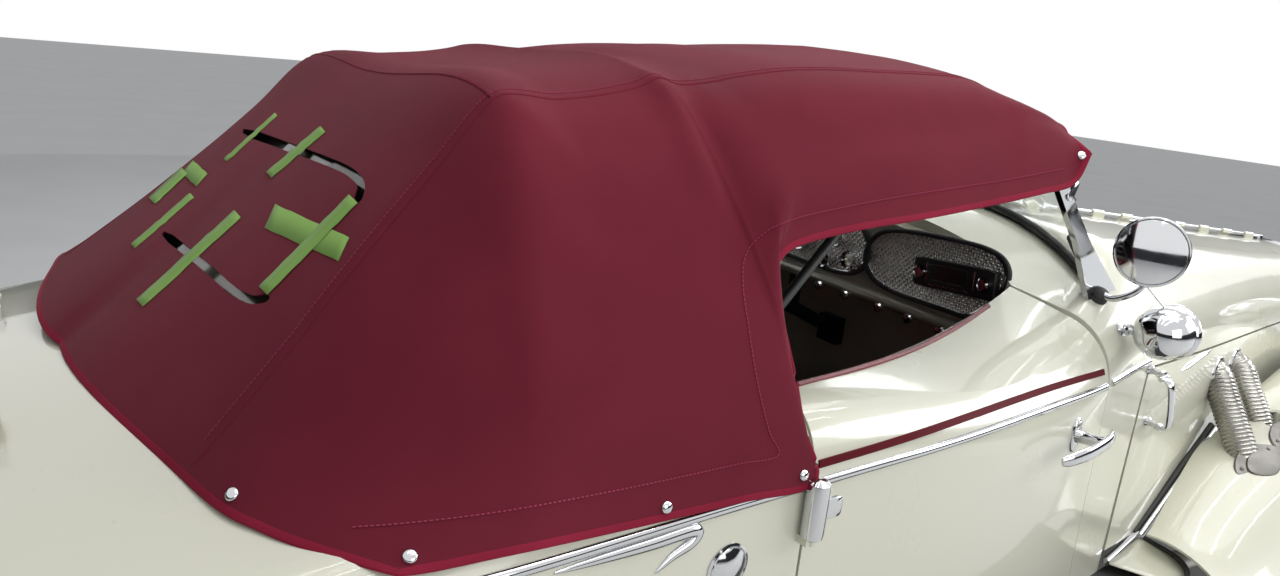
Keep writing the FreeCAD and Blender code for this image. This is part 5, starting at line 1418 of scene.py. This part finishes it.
def cushion_point(q, half, pleats):
    """Where a point of the rounded cube lies on the crowned and pleated cushion."""
    inside = max(0.0, 1 - q.x * q.x) * max(0.0, 1 - q.y * q.y)
    waist = 1 - 0.035 * max(0.0, 1 - q.z * q.z)
    real = Vector((q.x * half[0] * (waist + 0.015 * (1 - q.y * q.y)),
        q.y * half[1] * (waist + 0.01 * (1 - q.x * q.x)), q.z * half[2]))
    if q.z > 0.2:
        face = min(1.0, (q.z - 0.2) / 0.5)
        real.z += 0.018 * inside ** 0.5 * face
        reach, other = abs(q.x), abs(q.y)
        if reach < CHANNEL_LENGTH and other < CHANNEL_WIDTH:
            cell = (q.x / CHANNEL_LENGTH * 0.5 + 0.5) * pleats
            gap = abs(cell - round(cell)) * (2 * CHANNEL_LENGTH * half[0] / pleats)
            side_edge = min(1.0, (CHANNEL_WIDTH - other) / 0.05)
            edge = side_edge * min(1.0, (CHANNEL_LENGTH - reach) / 0.02 + 0.4)
            real.z -= 0.010 * math.exp(-(gap / 0.0065) ** 2) * face * max(0.0, edge)
            real.z += 0.003 * face
    return real


def cushion(name, centre, half, lean, pleats, lengths=(72, 40, 12)):
    """A crowned block with sewn channels on its upper face, leaned about X; half sizes in X, Y, Z."""
    centre = Vector(centre)
    built = cube_grid(lengths)
    for vert in built.verts:
        x, y, z = vert.co
        size = (abs(x) ** 5 + abs(y) ** 5 + abs(z) ** 5) ** (1 / 5)
        q = Vector((x / size, y / size, z / size))
        real = cushion_point(q, half, pleats)
        real += q * 0.0022 * noise.noise(Vector((q.x * 3, q.y * 3, q.z * 2)) + centre * 5)
        real.rotate(Matrix.Rotation(lean, 3, "X"))
        vert.co = real + centre
    bmesh.ops.recalc_face_normals(built, faces=built.faces)
    mesh = bpy.data.meshes.new(name)
    built.to_mesh(mesh)
    built.free()
    mesh.shade_smooth()
    obj = dressed(put(name, mesh), "leather", "car")
    return obj


def piping_data(centre, half, lean, height):
    loop = []
    rotation = Matrix.Rotation(lean, 3, "X")
    for angle in angles(72):
        c, s = squared(angle, 5)
        p = Vector((half[0] * c, half[1] * s, height))
        loop.append(rotation @ p + Vector(centre))
    return hoop_data(loop, circle(0.0042, 8), rotation @ Z)


SEAT_X = 0.295
FRONT_PLEATS, REAR_PLEATS = 9, 16
FRONT_LEAN, REAR_LEAN = math.radians(102), math.radians(94)


def make_seats():
    welts, bases = [], []
    for name, side in SIDES:
        x = side * SEAT_X
        at, back_at = (x, 0.365, 0.706), (x, 0.636, 0.868)
        seat = cushion(f"front_cushion_{name}", at, (0.243, 0.252, 0.058), 0.0, FRONT_PLEATS)
        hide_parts("front_seats")
        cushion(f"front_back_{name}", back_at, (0.243, 0.182, 0.052), FRONT_LEAN, FRONT_PLEATS)
        welts.append(piping_data(at, (0.243, 0.250), 0.0, 0.034))
        welts.append(piping_data(back_at, (0.243, 0.180), FRONT_LEAN, 0.030))
        bases.append(stack_data(Vector((x, 0.345, 0.512)), (X, Y, Z), (0.215, 0.19),
            ((0.98, 1), (1, 12), (1, 120), (0.96, 138), (0.9, 139)), 9, 48))
    rear = cushion("rear_cushion", (0, 1.082, 0.734), (0.535, 0.205, 0.055), 0.0, REAR_PLEATS,
        (120, 40, 12))
    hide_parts("rear_seat")
    cushion("rear_back", (0, 1.248, 0.855), (0.535, 0.114, 0.046), REAR_LEAN, REAR_PLEATS, (120, 30, 12))
    welts.append(piping_data((0, 1.082, 0.734), (0.535, 0.203), 0.0, 0.032))
    merged("seat_piping", welts, "dark_trim")
    merged("seat_bases", bases, "black")


# Door trim: its front end and length, its foot and height, and the columns, rows and channels of its grid
TRIM_FRONT, TRIM_LENGTH, TRIM_FOOT, TRIM_HEIGHT = -0.130, 0.74, 0.560, 0.40
TRIM_COLUMNS, TRIM_ROWS, TRIM_PLEATS = 60, 24, 14
# Distance from the centre line that is inside the doors
INSIDE = 0.30


def make_door_trims(name, side):
    body = f"door_{name}"
    tree = skin(body)
    verts, faces, index = [], [], {}
    for i in range(TRIM_COLUMNS + 1):
        y = TRIM_FRONT + TRIM_LENGTH * i / TRIM_COLUMNS
        for j in range(TRIM_ROWS + 1):
            z = TRIM_FOOT + TRIM_HEIGHT * j / TRIM_ROWS
            place = tree.ray_cast(Vector((side * INSIDE, y, z)), X * side)[0]
            if place is None:
                continue
            channel = 0.004 * abs(math.sin(math.pi * i / TRIM_COLUMNS * TRIM_PLEATS))
            pleat = channel if 0.60 < z < 0.88 else 0.002
            index[i, j] = len(verts)
            verts.append(place - Vector((side * (0.004 + pleat), 0, 0)))
    for i in range(TRIM_COLUMNS):
        for j in range(TRIM_ROWS):
            corners = [(i, j), (i + 1, j), (i + 1, j + 1), (i, j + 1)]
            if all(c in index for c in corners):
                faces.append(tuple(index[c] for c in corners))
    thicken(add_mesh(f"door_trim_{name}", verts, faces, "dark_trim", body), 0.003, -side)
    place = tree.ray_cast(Vector((side * INSIDE, 0.10, 0.86)), X * side)[0]
    if place:
        inward = X * -side
        parts = [lathe(((22, 0), (20, 8), (8, 10), (7, 34), (0, 36)), place, inward, 24)]
        path = catmull([place + inward * 0.032, place + inward * 0.036 + Vector((0, 0.05, -0.006)),
            place + inward * 0.032 + Vector((0, 0.10, -0.02))], 8)
        parts.append(sweep_data(path, circle(0.0065, 10), None, lambda t: 1.1 - 0.5 * t))
        merged(f"door_inner_handle_{name}", parts, "chrome", body)


# Wheels, lamps and plates

WHEEL_X, WHEEL_Z = 0.730, 0.360
AXLES = (("front", -1.718), ("rear", 1.508))
TREAD_BLOCKS = 144


def make_tyre(end, y, name, side):
    """Tread and white wall; each row is its place across, its radius and its kind of tread block."""
    centre = Vector((side * WHEEL_X, y, WHEEL_Z))
    out = X * side
    rows = [(-0.060, 0.237, 0), (-0.078, 0.252, 0), (-0.089, 0.275, 0), (-0.092, 0.300, 0),
        (-0.090, 0.322, 0), (-0.083, 0.340, 1), (-0.074, 0.3505, 1), (-0.066, 0.3555, 2),
        (-0.056, 0.3580, 2)]
    edge = -0.052
    for _ in range(5):
        rows += [(edge, 0.3520, 0), (edge + 0.004, 0.3590, 3), (edge + 0.0145, 0.3595, 3),
            (edge + 0.0168, 0.3520, 0)]
        edge += 0.0208
    rows += [(-a, r, kind) for a, r, kind in reversed(rows[:9])]
    verts = []
    for i, angle in enumerate(angles(TREAD_BLOCKS)):
        radial = turned(Y, Z, angle)
        for along, radius, kind in rows:
            notch = {1: 0.004, 2: 0.006}.get(kind, 0.0) if i % 4 == 0 else 0.0
            shift = 0.0022 * (1 if i % 4 < 2 else -1) if kind == 3 else 0.0
            verts.append(centre + out * (along + shift) + radial * (radius - notch))
    faces = ring_faces(TREAD_BLOCKS, len(rows), True)
    tyre = add_mesh(f"tyre_tread_{end}_{name}", verts, faces, "tyre", f"wheel_{end}_{name}")
    tyre.data.set_sharp_from_angle(angle=math.radians(30))
    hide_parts(f"tyre_{end}_{name}")
    wall = lathe(((246, 71.2), (250, 77), (262, 85), (276, 90.5), (290, 93), (302, 93.6), (310, 92),
        (312, 90)), centre, out, 96, False)
    merged(f"white_wall_{end}_{name}", [wall], "white_wall", f"wheel_{end}_{name}")


def make_wheel_dress(end, y, name, side):
    centre = Vector((side * WHEEL_X, y, WHEEL_Z))
    out = X * side
    body = f"wheel_{end}_{name}"
    ring = lathe(((196, 48), (205, 58), (218, 64), (232, 70), (240, 76), (243, 78), (244, 74), (238, 70)),
        centre, out, 96, False)
    tree = skin(body)
    cap_at = (tree.ray_cast(centre + out * 0.4, -out)[0] - centre).dot(out)
    profile = ((0.098, -0.034), (0.098, -0.024), (0.088, -0.014), (0.070, -0.004), (0.045, 0.004),
        (0.040, 0.003), (0.036, 0.006), (0.018, 0.010), (0, 0.011))
    cap = turn_data([(radius, cap_at + along) for radius, along in profile], centre, out, 72)
    merged(f"wheel_bright_{end}_{name}", [ring, cap], "chrome", body)
    disc_at = (tree.ray_cast(centre + out * 0.4 + Y * 0.15, -out)[0] - centre).dot(out)
    lines = []
    for radius in (0.128, 0.184):
        loop = [centre + out * (disc_at + 0.0006) + Vector((0, math.cos(a), math.sin(a))) * radius
            for a in angles(96)]
        lines.append(hoop_data(loop, bead_profile(0.005, 0.001, 3), out))
    merged(f"wheel_lines_{end}_{name}", lines, "stripe", body)
    nuts = []
    for i in range(5):
        a = 2 * math.pi * i / 5 + 0.3
        spot = centre + out * disc_at + Vector((0, math.cos(a), math.sin(a))) * 0.112
        nuts.append(lathe(((12, 0), (11, 8), (7, 13), (0, 15)), spot, out, 6))
    merged(f"wheel_nuts_{end}_{name}", nuts, "chrome", body)


# Middle of the right headlamp's and tail lamp's face
HEADLAMP_AT, TAIL_LAMP_AT = Vector((-0.505, -2.240, 0.940)), Vector((-0.800, 2.1585, 0.647))
LENS_RADIUS, LENS_RINGS = 0.0985, 11


def make_front_lamps(name, side):
    centre = flipped(HEADLAMP_AT, side)
    ahead = -Y
    rim = lathe(((104.5, -20), (107.5, -12), (108.5, 0), (106.5, 10), (101.5, 14), (98.5, 11), (98, 4)),
        centre, ahead, 72, False)
    merged(f"headlamp_rim_{name}", [rim], "chrome")
    profile = ((98.5, 7.5), (80, 6.8), (50, 6.4), (20, 6.2), (14, 10), (10, 16), (0, 18))
    bowl = lathe(profile, centre, ahead, 60)
    merged(f"headlamp_reflector_{name}", [bowl], "silver")
    verts = []
    for i in range(LENS_RINGS):
        share = i / (LENS_RINGS - 1)
        for a in angles(96):
            x, z = LENS_RADIUS * share * math.cos(a), LENS_RADIUS * share * math.sin(a)
            flute = 0.0012 * math.sin(x * 420) * (1 - share ** 4)
            verts.append(centre + Vector((x, -(0.012 + 0.018 * (1 - share ** 2)) + flute, z)))
    faces = ring_faces(LENS_RINGS, 96, False, False, False)
    lens = merged(f"headlamp_lens_{name}", [(verts, faces)], "glass")
    thicken(lens, 0.003)
    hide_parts("headlamp_glass")


def make_rear_lamps(name, side):
    centre = flipped(TAIL_LAMP_AT, side)
    rim = lathe(((46, -14), (47, 0), (44, 6), (38, 7), (36, 2)), centre, Y, 48, False)
    merged(f"tail_rim_{name}", [rim], "chrome")
    lens = lathe(((38.5, 1), (38, 6), (33, 12), (20, 16.5), (0, 18)), centre, Y, 48)
    merged(f"tail_lens_{name}", [lens], "red_lens")


PLATE_Y = 2.4705


def make_plates():
    levels = ((0.995, -2), (1, 0), (1, 1.5), (0.985, 3), (0.965, 2.2), (0.05, 2.2))
    for end, facing, z, half_height in (("rear", 1, 0.490, 0.056), ("front", -1, 0.455, 0.050)):
        plate = stack_data(Vector((0, facing * PLATE_Y, z)), (X * facing, Z, Y * facing),
            (0.255, half_height), levels, 14, 56)
        merged(f"number_plate_{end}", [plate], "plate")


RIB_COUNT, FIRST_RIB, RIB_SPACING = 11, 0.690, 0.0165


def make_running_board_ribs(name, side):
    ribs = []
    tree = skin("running_boards")
    for k in range(RIB_COUNT):
        x = side * (FIRST_RIB + RIB_SPACING * k)
        found = [tree.ray_cast(Vector((x, -0.50 + 1.44 * i / 61, 0.60)), -Z)[0] for i in range(62)]
        points = [place for place in found if place is not None and place.z > 0.42]
        if len(points) > 3:
            ribs.append(sweep_data(points, bead_profile(0.0085, 0.0042, 5), [Z] * len(points)))
    merged(f"board_ribs_{name}", ribs, "gasket")
    found = [tree.ray_cast(Vector((side * 1.2, -0.54 + 1.52 * i / 61, 0.437)), X * -side)[0]
        for i in range(62)]
    points = [place for place in found if place is not None and abs(place.x) > 0.5]
    if len(points) > 3:
        profile = bead_profile(0.018, 0.005, 6)
        sweep(f"board_edge_{name}", points, profile, "chrome", "car", [X * side] * len(points))


def make_boot_fittings():
    tree = skin("boot_lid")
    place, normal, _, _ = tree.ray_cast(Vector((0, 3.0, 0.80)), -Y)
    if place is None:
        return
    normal = normal if normal.y > 0 else -normal
    across = X
    up = normal.cross(across)
    up = up if up.z > 0 else -up
    parts = [stack_data(place, (across, up, normal), (0.030, 0.018), ROUND_PLATE, 2.4),
        lathe(((10, 0), (9, 26), (12, 32), (0, 36)), place, normal, 20)]
    path = catmull([place + normal * 0.030 + across * s for s in (-0.055, -0.03, 0.0, 0.03, 0.055)], 5)
    parts.append(sweep_data(path, circle(0.0075, 12), [up] * len(path),
        lambda t: 0.55 + 0.5 * math.sin(math.pi * t)))
    merged("boot_handle", parts, "chrome", "boot_lid")


def both_sides(*makers):
    for make in makers:
        for name, side in SIDES:
            make(name, side)


both_sides(make_door_rolls)
make_windscreen_gasket()
both_sides(make_belt, make_handles, make_side_ornaments, make_latch, make_pipes, make_mirrors_and_lamps,
    make_header_fittings)
make_dash_panels()
make_radio()
make_gauges()
make_dash_edge()
make_steering_wheel()
make_seats()
both_sides(make_door_trims)
for wheel_end, wheel_y in AXLES:
    for side_name, side_sign in SIDES:
        make_tyre(wheel_end, wheel_y, side_name, side_sign)
        make_wheel_dress(wheel_end, wheel_y, side_name, side_sign)
both_sides(make_front_lamps, make_rear_lamps)
make_plates()
both_sides(make_running_board_ribs)
make_boot_fittings()


# Stage and light

FLOOR_REACH = 30
FLAG_DISTANCE = 9.0


def make_floor():
    corners = [(u * FLOOR_REACH, v * FLOOR_REACH, 0) for u, v in ((-1, -1), (1, -1), (1, 1), (-1, 1))]
    floor = put("floor", mesh_of("floor", corners, [(0, 1, 2, 3)]))
    shade = Shade("pale_floor", (0.72, 0.72, 0.71), 0.75)
    shade.tint(shade.noise(1.5, 3), (0.70, 0.70, 0.69), (0.74, 0.74, 0.73))
    floor.data.materials.append(shade.material)


def make_flag():
    """A dark panel round the stage, seen in reflections only."""
    wall = turn_data([(FLAG_DISTANCE, height) for height in (0.05, 0.9, 2.1)], (0, 0, 0), Z, 48, False)
    flag = put("studio_flag", mesh_of("studio_flag", *wall))
    flag.data.materials.append(Shade("dark_cloth", (0.035, 0.036, 0.04), 0.9).material)
    flag.visible_camera = False
    flag.visible_diffuse = False
    flag.visible_transmission = False
    flag.visible_shadow = False


def make_world():
    """Soft light from all sides; the camera and mirror-like rays see plain white."""
    world = bpy.data.worlds.new("studio")
    world.use_nodes = True
    bpy.context.scene.world = world
    nodes, link = world.node_tree.nodes, world.node_tree.links.new
    soft = nodes["Background"]
    soft.inputs["Color"].default_value = (0.86, 0.89, 0.93, 1)
    soft.inputs["Strength"].default_value = 0.42
    white = nodes.new("ShaderNodeBackground")
    white.inputs["Color"].default_value = (1, 1, 1, 1)
    path = nodes.new("ShaderNodeLightPath")
    seen = path.outputs["Is Camera Ray"]
    for ray in ("Is Glossy Ray", "Is Transmission Ray"):
        either = nodes.new("ShaderNodeMath")
        either.operation = "MAXIMUM"
        link(seen, either.inputs[0])
        link(path.outputs[ray], either.inputs[1])
        seen = either.outputs[0]
    mix = nodes.new("ShaderNodeMixShader")
    link(seen, mix.inputs[0])
    link(soft.outputs[0], mix.inputs[1])
    link(white.outputs[0], mix.inputs[2])
    link(mix.outputs[0], nodes["World Output"].inputs["Surface"])


def area_light(name, at, target, size, power, color=(1, 1, 1)):
    data = bpy.data.lights.new(name, "AREA")
    data.shape = "RECTANGLE"
    data.size, data.size_y = size
    data.energy = power
    data.color = color
    light = put(name, data)
    light.location = at
    light.rotation_euler = (Vector(target) - Vector(at)).to_track_quat("-Z", "Y").to_euler()


bpy.context.scene.view_settings.view_transform = "Standard"
make_floor()
make_flag()
make_world()
area_light("daylight_door", (-3.2, -6.2, 3.4), (0, 0, 0.9), (4.5, 2.6), 200, (0.96, 0.98, 1.0))
area_light("daylight_front", (2.4, -6.4, 3.6), (0, 0, 1.2), (4.5, 2.4), 110, (0.97, 0.98, 1.0))
area_light("ceiling", (-0.5, -1.2, 5.0), (0, -0.6, 0.9), (4, 4), 85, (1.0, 0.99, 0.96))
area_light("side_fill", (-6.0, 0.2, 2.4), (0, 0.0, 0.8), (4, 3), 70, (1.0, 0.98, 0.95))
for number, across in enumerate((-1.9, -1.1, -0.3)):
    area_light(f"tube_{number + 1}", (across, -0.2, 3.6), (across, -0.2, 0), (0.07, 5.0), 12,
        (1.0, 0.99, 0.95))
